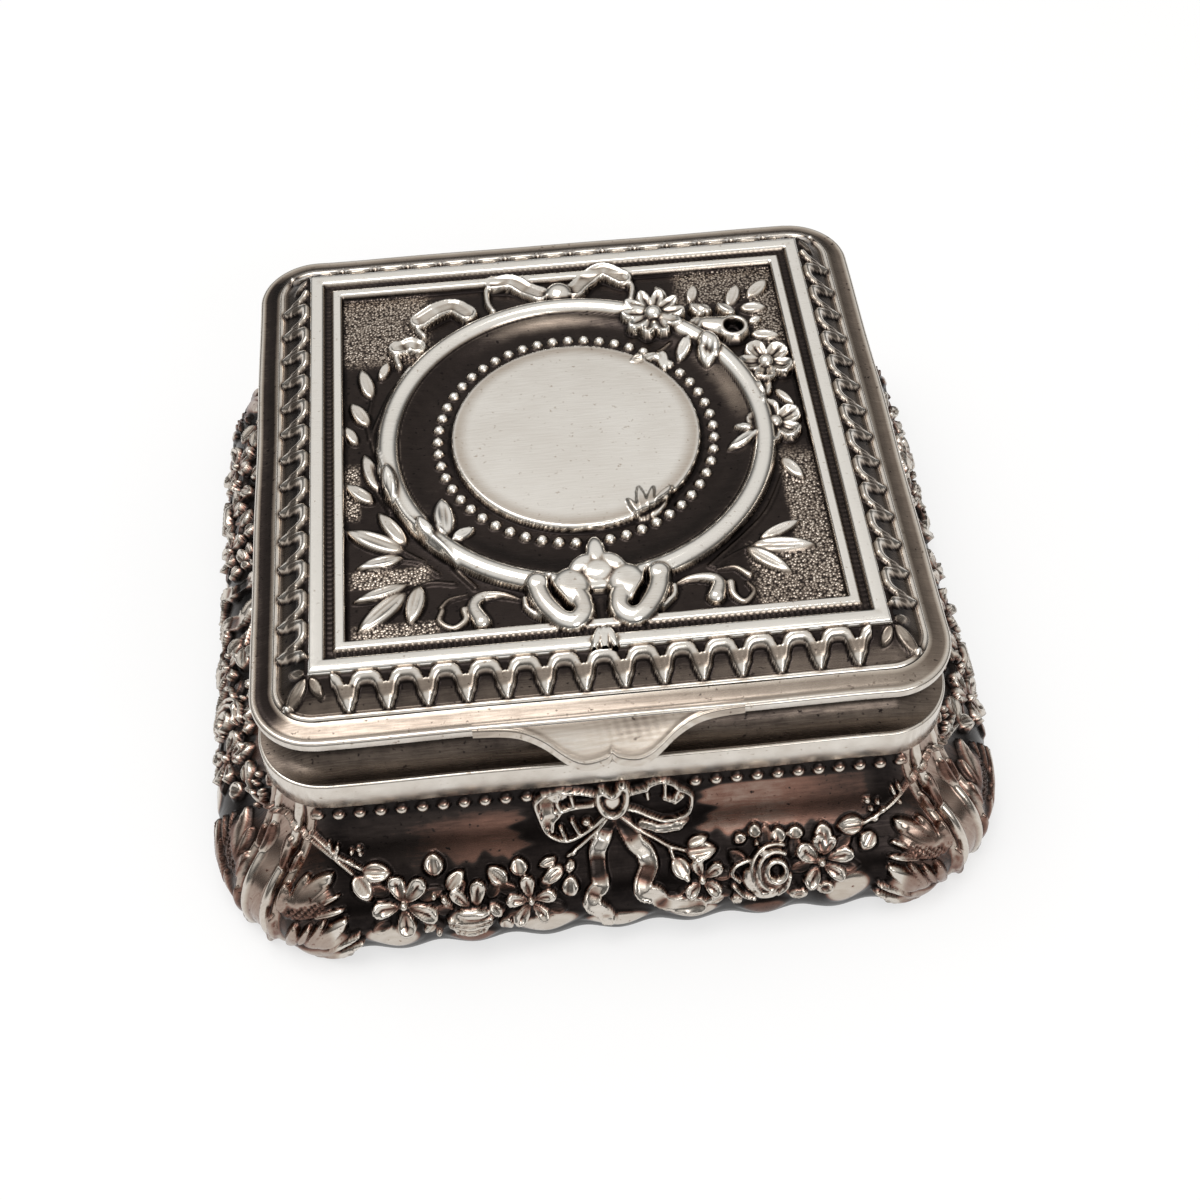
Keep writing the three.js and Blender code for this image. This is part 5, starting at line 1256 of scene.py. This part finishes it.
def neck_piece():
    """The hollow neck moulding."""
    foot = NECK_BOTTOM + NECK_FOOT
    lip = NECK_TOP - NECK_LIP
    foot_radii = (NECK_FOOT_HALF - NECK_DEEP_HALF, HINGE_Z - foot)
    lip_radii = (NECK_LIP_HALF - NECK_DEEP_HALF, lip - HINGE_Z)
    rise = arc((NECK_FOOT_HALF, HINGE_Z), foot_radii, -math.pi / 2, -math.pi, 10)
    turn = arc((NECK_LIP_HALF, HINGE_Z), lip_radii, math.pi, math.pi / 2, 8)
    profile = [(NECK_INNER_HALF, NECK_BOTTOM), (NECK_FOOT_HALF, NECK_BOTTOM)] + rise + turn[1:]
    profile += [(NECK_LIP_HALF, NECK_TOP), (NECK_INNER_HALF, NECK_TOP)]

    def tarnish(half, level, ways):
        if half <= NECK_INNER_HALF + 0.1:
            return NECK_INNER_TARNISH
        # Darker in the deep of the hollow and towards the lip than at the foot: painted shadow under the
        # flange.
        return NECK_TARNISH + 0.1 * (1 - smooth(NECK_DEEP_HALF, NECK_FOOT_HALF, half))

    return moulding(profile, tarnish, waver=NECK_WAVER)


def bezel_piece():
    """The bezel that the lid closes over."""
    inner = BEZEL_HALF - BEZEL_SHEET
    profile = [(inner, BEZEL_BOTTOM), (BEZEL_HALF, BEZEL_BOTTOM), (BEZEL_HALF, BEZEL_TOP), (inner, BEZEL_TOP)]
    return moulding(rounded(profile, 0.25), lambda half, level, ways: BEZEL_TARNISH)


def base_piece():
    """The flat base, plain inside and underneath."""
    edge = [(CORNER_CENTRE, 0.0), (BASE_HALF - 0.2, 0.0), (BASE_HALF, 0.2)]
    edge += [(half, BASE_TOP - level) for half, level in reversed(edge)]
    ways = np.array([(0, -1), (0.3, -1), (1, -0.3), (1, 0.3), (0.3, 1), (0, 1)])
    piece = Piece()
    piece.sheet(square_ring(edge), carried_round(ways, square_plan(SIDE_STEPS)[1]), BASE_TARNISH, closed=True)
    piece.plate(CORNER_CENTRE, 0.0, -1, BASE_TARNISH)
    piece.plate(CORNER_CENTRE, BASE_TOP, 1, BASE_TARNISH)
    return piece


def turned_bar(piece, profile, tarnish):
    """Adds a round bar along the hinge; the profile holds places along it and radii."""
    angles = np.linspace(0, 2 * math.pi, BAR_STEPS + 1)[:-1]
    places, radii = np.array(profile).T
    x = np.broadcast_to(places[:, None], (len(places), len(angles)))
    out = np.stack([np.cos(angles), np.sin(angles)], -1)
    rim = radii[:, None, None] * out + np.array([HINGE_Y, HINGE_Z])
    points = np.concatenate([x[..., None], rim], -1)
    outward = points - np.array([places.mean(), HINGE_Y, HINGE_Z])
    piece.sheet(points, outward, tarnish, closed=True)


def knuckle_piece(node):
    """One hinge knuckle: a bored barrel with a strap to what carries it."""
    low, high = (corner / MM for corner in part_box(node))
    bore = PIN_RADIUS + BORE_GAP
    profile = [(low.x + 0.05, bore), (low.x, bore + 0.12)]
    profile += [(low.x, BARREL_RADIUS - 0.15), (low.x + 0.15, BARREL_RADIUS)]
    profile += [(low.x + high.x - place, radius) for place, radius in reversed(profile)]
    piece = Piece()
    turned_bar(piece, profile, HINGE_TARNISH)
    back = HINGE_Y + BARREL_RADIUS
    on_lid = high.z > HINGE_Z + BARREL_RADIUS + 0.1
    if on_lid:
        outline = [(back - STRAP, HINGE_Z), (back, HINGE_Z), (back, high.z), (back - STRAP, high.z)]
    else:
        foot, top, front = HINGE_Z - STRAP / 2, HINGE_Z + STRAP / 2, HINGE_Y - 0.75
        outline = [(low.y, foot), (front, foot), (front, top), (low.y, top)]
    loop = np.array(outline + outline[:1])
    centre = loop[:-1].mean(0)
    strap = np.array([[(x, y, z) for x in (low.x, high.x)] for y, z in loop])
    piece.sheet(strap, strap - np.array([(low.x + high.x) / 2, *centre]), HINGE_TARNISH)
    return piece


def pin_piece():
    """The hinge pin, with domed ends."""
    left, right = HINGE_LOW.x, HINGE_HIGH.x
    profile = [(left, 0.02), (left, 0.3), (left + 0.15, PIN_RADIUS)]
    profile += [(left + right - place, radius) for place, radius in reversed(profile)]
    piece = Piece()
    turned_bar(piece, profile, PIN_TARNISH)
    return piece


class Socket:
    """A shader socket that Python arithmetic works on."""

    def __init__(self, shader, output):
        self.shader, self.output = shader, output

    def math(self, operation, first, second):
        return self.shader.node("ShaderNodeMath", {"operation": operation}, {0: first, 1: second})

    def __add__(self, other):
        return self.math("ADD", self, other)

    def __radd__(self, other):
        return self.math("ADD", other, self)

    def __sub__(self, other):
        return self.math("SUBTRACT", self, other)

    def __rsub__(self, other):
        return self.math("SUBTRACT", other, self)

    def __mul__(self, other):
        return self.math("MULTIPLY", self, other)

    def __rmul__(self, other):
        return self.math("MULTIPLY", other, self)

    def up_to(self, other):
        return self.math("MINIMUM", self, other)

    def at_least(self, other):
        return self.math("MAXIMUM", self, other)


class Shader:
    """Adds nodes to a tree by their type, settings and sockets."""

    def __init__(self, tree):
        self.tree = tree
        tree.nodes.clear()

    def node(self, kind, settings=None, sockets=None, output=0):
        """A node's output. Its settings are set first, then its sockets' values or links."""
        node = self.tree.nodes.new(kind)
        for name, value in (settings or {}).items():
            if name == "stops":
                self.set_stops(node.color_ramp.elements, value)
            else:
                setattr(node, name, value)
        for name, value in (sockets or {}).items():
            if isinstance(value, Socket):
                self.tree.links.new(value.output, node.inputs[name])
            else:
                node.inputs[name].default_value = value
        return Socket(self, node.outputs[output]) if node.outputs else None

    @staticmethod
    def set_stops(elements, stops):
        elements.remove(elements[1])
        for k, (place, colour) in enumerate(stops):
            element = elements.new(place) if k else elements[0]
            element.position = place
            element.color = (*colour, 1.0)


# Tarnish and painted shade at which the silver is polished, worn, toned, shaded and oxidised
TARNISH_STOPS = (0.0, 0.3, 0.58, 0.8, 1.0)
LEAST_ROUGHNESS = 0.06


def silver(name, settings, toning_and_painted_light):
    """Worn silver that darkens to brown and black oxide with the tarnish and painted shade stored on the
    mesh.
    """
    material = bpy.data.materials.new(name)
    material.use_nodes = True
    shader = Shader(material.node_tree)
    place = shader.node("ShaderNodeTexCoord", output="Object")
    tarnish = shader.node("ShaderNodeAttribute", {"attribute_name": "tarnish"}, output="Fac")
    matting = shader.node("ShaderNodeAttribute", {"attribute_name": "matting"}, output="Fac")

    def noise(scale, detail, roughness=0.5, vector=place):
        sockets = {"Vector": vector, "Scale": scale, "Detail": detail, "Roughness": roughness}
        return shader.node("ShaderNodeTexNoise", None, sockets)

    clouds = noise(scale=140.0, detail=3.0) - 0.5
    grime = noise(scale=900.0, detail=4.0, roughness=0.65) - 0.5
    specks = (noise(scale=1900.0, detail=2.0) - 0.66).at_least(0.0) * 2.5
    drawn_out = {"Vector": place, "Rotation": (0, 0, 0.5), "Scale": (420.0, 6500.0, 420.0)}
    stretched = shader.node("ShaderNodeMapping", {"vector_type": "POINT"}, drawn_out)
    hairlines = noise(scale=1.0, detail=2.0, vector=stretched) - 0.5
    punched = {"Vector": place, "Scale": 3600.0, "Smoothness": 0.3}
    pebbles = shader.node("ShaderNodeTexVoronoi", {"feature": "SMOOTH_F1"}, punched)

    mottled = tarnish + clouds * 0.16 + grime * 0.2 * tarnish + hairlines * 0.14 + specks
    mottled = mottled.at_least(0.0).up_to(1.0)
    worn = (mottled - matting * (0.75 - pebbles).at_least(0.0) * 1.1).at_least(0.0)
    colours = (settings.polished, settings.worn, toning_and_painted_light, settings.shaded, settings.oxide)
    colour = shader.node("ShaderNodeValToRGB", {"stops": zip(TARNISH_STOPS, colours)}, {"Fac": worn})
    polish = settings.polish + worn * settings.dulling + hairlines * settings.scratches
    depth = (1 - pebbles) * matting + hairlines * 0.03
    bump = shader.node("ShaderNodeBump", None, {"Strength": 0.55, "Distance": 0.00012, "Height": depth})
    roughness = polish.at_least(LEAST_ROUGHNESS)
    sockets = {"Base Color": colour, "Roughness": roughness, "Metallic": 1.0, "Normal": bump}
    surface = shader.node("ShaderNodeBsdfPrincipled", None, sockets)
    shader.node("ShaderNodeOutputMaterial", None, {"Surface": surface})
    return material


class JewelBoxFinish(bpy.types.PropertyGroup):
    """Colours and polish of the silver"""

    polished: FloatVectorProperty(
        name="Polished", description="Silver on the crests of the relief",
        subtype="COLOR", default=(0.86, 0.83, 0.78), min=0, max=1,
    )
    worn: FloatVectorProperty(
        name="Worn", description="Lightly toned silver beside the crests",
        subtype="COLOR", default=(0.5, 0.436, 0.37), min=0, max=1,
    )
    # Red-brown of the walls: toning, with a painted warm reflection on their plain parts
    toning_and_painted_light: FloatVectorProperty(
        name="Toned", description="Red-brown toning of plain sheltered surfaces",
        subtype="COLOR", default=(0.195, 0.106, 0.08), min=0, max=1,
    )
    sheltered: FloatVectorProperty(
        name="Sheltered", description="Grey-brown toning of the plain mouldings",
        subtype="COLOR", default=(0.2, 0.16, 0.13), min=0, max=1,
    )
    shaded: FloatVectorProperty(
        name="Shaded", description="Dark brown of the sunk grounds",
        subtype="COLOR", default=(0.036, 0.028, 0.025), min=0, max=1,
    )
    oxide: FloatVectorProperty(
        name="Oxide", description="Black oxide in the deepest recesses",
        subtype="COLOR", default=(0.012, 0.0095, 0.009), min=0, max=1,
    )
    polish: FloatProperty(
        name="Polish", description="Roughness of the brightest silver",
        subtype="FACTOR", default=0.17, min=0, max=1,
    )
    dulling: FloatProperty(
        name="Dulling", description="Roughness that tarnish adds",
        subtype="FACTOR", default=0.14, min=0, max=1,
    )
    scratches: FloatProperty(
        name="Scratches", description="How far fine scratches change the polish",
        subtype="FACTOR", default=0.22, min=0, max=1,
    )


class JewelBoxRelief(bpy.types.PropertyGroup):
    """Fineness of the struck meshes"""

    lid_step: FloatProperty(
        name="Lid step", description="Spacing of the lid's mesh",
        unit="LENGTH", precision=5, default=0.16 * MM, min=0.08 * MM,
    )
    wall_step: FloatProperty(
        name="Wall step", description="Spacing of the walls' meshes",
        unit="LENGTH", precision=5, default=0.18 * MM, min=0.08 * MM,
    )


class JewelBoxStage(bpy.types.PropertyGroup):
    """Floor, lamps and camera"""

    floor_colour: FloatVectorProperty(
        name="Floor", description="Colour of the floor",
        subtype="COLOR", default=(0.9, 0.9, 0.9), min=0, max=1,
    )
    key: FloatProperty(
        name="Key lamp", description="Power of the large lamp over the box",
        unit="POWER", default=2.2, min=0,
    )
    fill: FloatProperty(
        name="Fill lamp", description="Power of the lamp at the front",
        unit="POWER", default=0.9, min=0,
    )
    azimuth: FloatProperty(
        name="Azimuth", description="Camera's turn from the front",
        unit="ROTATION", default=math.radians(-4.1),
    )
    elevation: FloatProperty(
        name="Elevation", description="Camera's height over the horizon",
        unit="ROTATION", default=math.radians(52.0),
    )
    roll: FloatProperty(
        name="Roll", description="Camera's tilt",
        unit="ROTATION", default=math.radians(-1.92),
    )
    distance: FloatProperty(
        name="Distance", description="Camera's distance from the lid",
        unit="LENGTH", default=187.15 * MM, min=0.05,
    )
    aside: FloatProperty(
        name="Aside", description="Camera's shift to the right",
        unit="LENGTH", default=2.0 * MM,
    )
    above: FloatProperty(
        name="Above", description="Camera's shift upwards in the picture",
        unit="LENGTH", default=-18.05 * MM,
    )
    lens: FloatProperty(
        name="Lens", description="Focal length on a 36 mm sensor",
        unit="CAMERA", default=52.14, min=10,
    )


# Floor: half its side and its level, and how far it glows white where the camera or a reflection sees it
FLOOR_HALF, FLOOR_LEVEL, FLOOR_GLOW = 3.0, -0.05 * MM, 0.62

# Sky: shades by height, and their tint
SKY_SHADES = ((0.0, 0.12), (0.18, 0.1), (0.34, 0.3), (0.55, 0.75), (1.0, 0.85))
SKY_TINT = (1.0, 0.985, 0.96)

# Lamps: place and size, and where they are aimed
KEY_LAMP = ((-0.14, 0.06, 0.66), (0.45, 0.45))
FRONT_LAMP = ((0.25, -0.55, 0.4), (0.35, 0.25))
LAMP_AIM = (0, 0, 0.02)

# Camera: width of its sensor in millimetres, and how near and far it sees
SENSOR, SIGHT = 36.0, (0.005, 20.0)


class JEWELBOX_OT_stage(bpy.types.Operator):
    """Set out the floor, the sky, the lamps and the camera"""

    bl_idname = "jewel_box.stage"
    bl_label = "Stage"

    def execute(self, context):
        settings = context.scene.jewel_box_stage
        context.scene.view_settings.view_transform = "Standard"
        self.lay_floor(context, settings)
        self.light_sky(context)
        self.hang_lamp(context, "key_lamp", *KEY_LAMP, settings.key)
        self.hang_lamp(context, "front_lamp", *FRONT_LAMP, settings.fill)
        self.set_camera(context, settings)
        return {"FINISHED"}

    @staticmethod
    def lay_floor(context, settings):
        mesh = bpy.data.meshes.new("floor")
        signs = ((-1, -1), (1, -1), (1, 1), (-1, 1))
        corners = [(x * FLOOR_HALF, y * FLOOR_HALF, FLOOR_LEVEL) for x, y in signs]
        mesh.from_pydata(corners, [], [(0, 1, 2, 3)])
        material = bpy.data.materials.new("pale_floor")
        material.use_nodes = True
        shader = Shader(material.node_tree)
        seen = shader.node("ShaderNodeLightPath", output="Is Camera Ray")
        mirrored = shader.node("ShaderNodeLightPath", output="Is Glossy Ray")
        matte = shader.node("ShaderNodeBsdfDiffuse", None, {"Color": (*settings.floor_colour, 1.0)})
        white = shader.node("ShaderNodeEmission", None, {"Color": (1, 1, 1, 1), "Strength": 1.0})
        glow = FLOOR_GLOW * seen.at_least(mirrored)
        mixed = shader.node("ShaderNodeMixShader", None, {0: glow, 1: matte, 2: white})
        shader.node("ShaderNodeOutputMaterial", None, {"Surface": mixed})
        mesh.materials.append(material)
        floor = bpy.data.objects.new("floor", mesh)
        context.scene.collection.objects.link(floor)

    @staticmethod
    def light_sky(context):
        world = bpy.data.worlds.new("studio_sky")
        world.use_nodes = True
        context.scene.world = world
        shader = Shader(world.node_tree)
        way = shader.node("ShaderNodeTexCoord", output="Generated")
        height = shader.node("ShaderNodeSeparateXYZ", None, {"Vector": way}, output="Z")
        stops = [(place, [shade * part for part in SKY_TINT]) for place, shade in SKY_SHADES]
        sky = shader.node("ShaderNodeValToRGB", {"stops": stops}, {"Fac": height})
        seen = shader.node("ShaderNodeLightPath", output="Is Camera Ray")
        studio = shader.node("ShaderNodeBackground", None, {"Color": sky, "Strength": 1.0})
        white = shader.node("ShaderNodeBackground", None, {"Color": (1, 1, 1, 1), "Strength": 1.0})
        mixed = shader.node("ShaderNodeMixShader", None, {0: seen, 1: studio, 2: white})
        shader.node("ShaderNodeOutputWorld", None, {"Surface": mixed})

    @staticmethod
    def hang_lamp(context, name, place, size, power):
        lamp = bpy.data.lights.new(name, "AREA")
        lamp.shape = "RECTANGLE"
        lamp.size, lamp.size_y = size
        lamp.energy = power
        hung = bpy.data.objects.new(name, lamp)
        context.scene.collection.objects.link(hung)
        hung.location = place
        hung.rotation_euler = (Vector(place) - Vector(LAMP_AIM)).to_track_quat("Z", "Y").to_euler()

    @staticmethod
    def set_camera(context, settings):
        lens = bpy.data.cameras.new("camera")
        lens.lens, lens.sensor_width = settings.lens, SENSOR
        lens.clip_start, lens.clip_end = SIGHT
        camera = bpy.data.objects.new("camera", lens)
        context.scene.collection.objects.link(camera)
        context.scene.camera = camera
        turn, tilt = settings.azimuth, settings.elevation
        back = Vector((math.sin(turn) * math.cos(tilt), -math.cos(turn) * math.cos(tilt), math.sin(tilt)))
        right = Vector((math.cos(turn), math.sin(turn), 0))
        up = back.cross(right)
        lid = Vector((0, 0, FRAME_TOP * MM))
        place = lid + back * settings.distance + right * settings.aside + up * settings.above
        level = right * math.cos(settings.roll) + up * math.sin(settings.roll)
        upright = up * math.cos(settings.roll) - right * math.sin(settings.roll)
        camera.matrix_world = Matrix.Translation(place) @ Matrix((level, upright, back)).transposed().to_4x4()


def finish_named(name):
    """The silver of this name, made when first asked for."""
    settings = bpy.context.scene.jewel_box_finish
    toning_and_painted_light = settings.toning_and_painted_light if name == "struck_walls" else settings.sheltered
    return bpy.data.materials.get(name) or silver(name, settings, toning_and_painted_light)


class JEWELBOX_OT_walls(bpy.types.Operator):
    """Strike the four walls with beads, bow and garlands"""

    bl_idname = "jewel_box.walls"
    bl_label = "Walls"

    def execute(self, context):
        step = context.scene.jewel_box_relief.wall_step / MM
        struck = finish_named("struck_walls")
        walls = [wall_piece(step, acanthus) for acanthus in (1.0, SIDE_ACANTHUS)]
        for turns, side in enumerate(("front", "right", "back", "left")):
            wall = walls[turns % 2].turned(turns)
            wall.make(f"{side}_wall", struck, f"body_{side}_panel", "struck_silver")
        return {"FINISHED"}


class JEWELBOX_OT_corners(bpy.types.Operator):
    """Strike the four corners with their ribs, flute and acanthus"""

    bl_idname = "jewel_box.corners"
    bl_label = "Corners"

    def execute(self, context):
        step = context.scene.jewel_box_relief.wall_step / MM
        struck = finish_named("struck_walls")
        corners = corner_piece(step, 1.0, SIDE_ACANTHUS), corner_piece(step, SIDE_ACANTHUS, 1.0)
        for turns, place in enumerate(("front_right", "back_right", "back_left", "front_left")):
            corner = corners[turns % 2].turned(turns)
            corner.make(f"{place}_corner", struck, f"corner_leaf_{place}", "struck_silver")
        return {"FINISHED"}


class JEWELBOX_OT_rim(bpy.types.Operator):
    """Make the base, the band, the neck and the bezel"""

    bl_idname = "jewel_box.rim"
    bl_label = "Rim and base"

    def execute(self, context):
        plain = finish_named("worn_plain")
        base_piece().make("base", plain, "base_plate", "plain_silver", CREASE)
        band_piece().make("plain_band", plain, "rim_band", "plain_silver", CREASE)
        neck_piece().make("neck", plain, "rim_neck", "plain_silver", CREASE)
        bezel_piece().make("bezel", plain, "inner_bezel", "plain_silver", CREASE)
        return {"FINISHED"}


class JEWELBOX_OT_lid(bpy.types.Operator):
    """Strike the lid panel with its border, medallion and flowers"""

    bl_idname = "jewel_box.lid"
    bl_label = "Lid panel"

    def execute(self, context):
        step = context.scene.jewel_box_relief.lid_step / MM
        lid_piece(step).make("lid_top", finish_named("struck_lid"), "lid_panel", "struck_silver")
        return {"FINISHED"}


class JEWELBOX_OT_lid_edge(bpy.types.Operator):
    """Make the lid's flange and its thumbpiece"""

    bl_idname = "jewel_box.lid_edge"
    bl_label = "Flange and thumbpiece"

    def execute(self, context):
        plain = finish_named("worn_plain")
        flange_piece().make("flange", plain, "lid_flange", "plain_silver", FLANGE_CREASE)
        thumbpiece().make("thumb_tab", plain, "thumbpiece", "plain_silver", THUMB_CREASE)
        return {"FINISHED"}


class JEWELBOX_OT_hinge(bpy.types.Operator):
    """Make the hinge's knuckles and its pin"""

    bl_idname = "jewel_box.hinge"
    bl_label = "Hinge"

    def execute(self, context):
        plain = finish_named("worn_plain")
        for node in ("body_knuckle_1", "body_knuckle_2", "body_knuckle_3", "lid_knuckle_1", "lid_knuckle_2"):
            knuckle_piece(node).make(f"{node}_barrel", plain, node, "plain_silver", CREASE)
        pin_piece().make("pin", finish_named("drawn_pin"), "hinge_pin", "pin_wire", CREASE)
        return {"FINISHED"}


class JEWELBOX_PT_panel(bpy.types.Panel):
    """Settings of the jewel box, and the steps that make it"""

    bl_idname = "JEWELBOX_PT_panel"
    bl_label = "Jewel Box"
    bl_space_type = "VIEW_3D"
    bl_region_type = "UI"
    bl_category = "Jewel Box"

    def draw(self, context):
        scene = context.scene
        for settings in (scene.jewel_box_finish, scene.jewel_box_relief, scene.jewel_box_stage):
            box = self.layout.box()
            for name in settings.__annotations__:
                box.prop(settings, name)
        for operator in OPERATORS:
            self.layout.operator(operator.bl_idname)


SETTINGS = (JewelBoxFinish, JewelBoxRelief, JewelBoxStage)
OPERATORS = (
    JEWELBOX_OT_stage,
    JEWELBOX_OT_walls,
    JEWELBOX_OT_corners,
    JEWELBOX_OT_rim,
    JEWELBOX_OT_lid,
    JEWELBOX_OT_lid_edge,
    JEWELBOX_OT_hinge,
)


def register():
    """Registers the classes and the scene's settings."""
    for cls in (*SETTINGS, *OPERATORS, JEWELBOX_PT_panel):
        bpy.utils.register_class(cls)
    bpy.types.Scene.jewel_box_finish = PointerProperty(type=JewelBoxFinish)
    bpy.types.Scene.jewel_box_relief = PointerProperty(type=JewelBoxRelief)
    bpy.types.Scene.jewel_box_stage = PointerProperty(type=JewelBoxStage)


def unregister():
    """Removes the scene's settings and the classes."""
    del bpy.types.Scene.jewel_box_finish
    del bpy.types.Scene.jewel_box_relief
    del bpy.types.Scene.jewel_box_stage
    for cls in reversed((*SETTINGS, *OPERATORS, JEWELBOX_PT_panel)):
        bpy.utils.unregister_class(cls)


def main():
    """Makes the scene."""
    register()
    bpy.ops.jewel_box.stage()
    bpy.ops.jewel_box.walls()
    bpy.ops.jewel_box.corners()
    bpy.ops.jewel_box.rim()
    bpy.ops.jewel_box.lid()
    bpy.ops.jewel_box.lid_edge()
    bpy.ops.jewel_box.hinge()


if __name__ == "__main__":
    main()
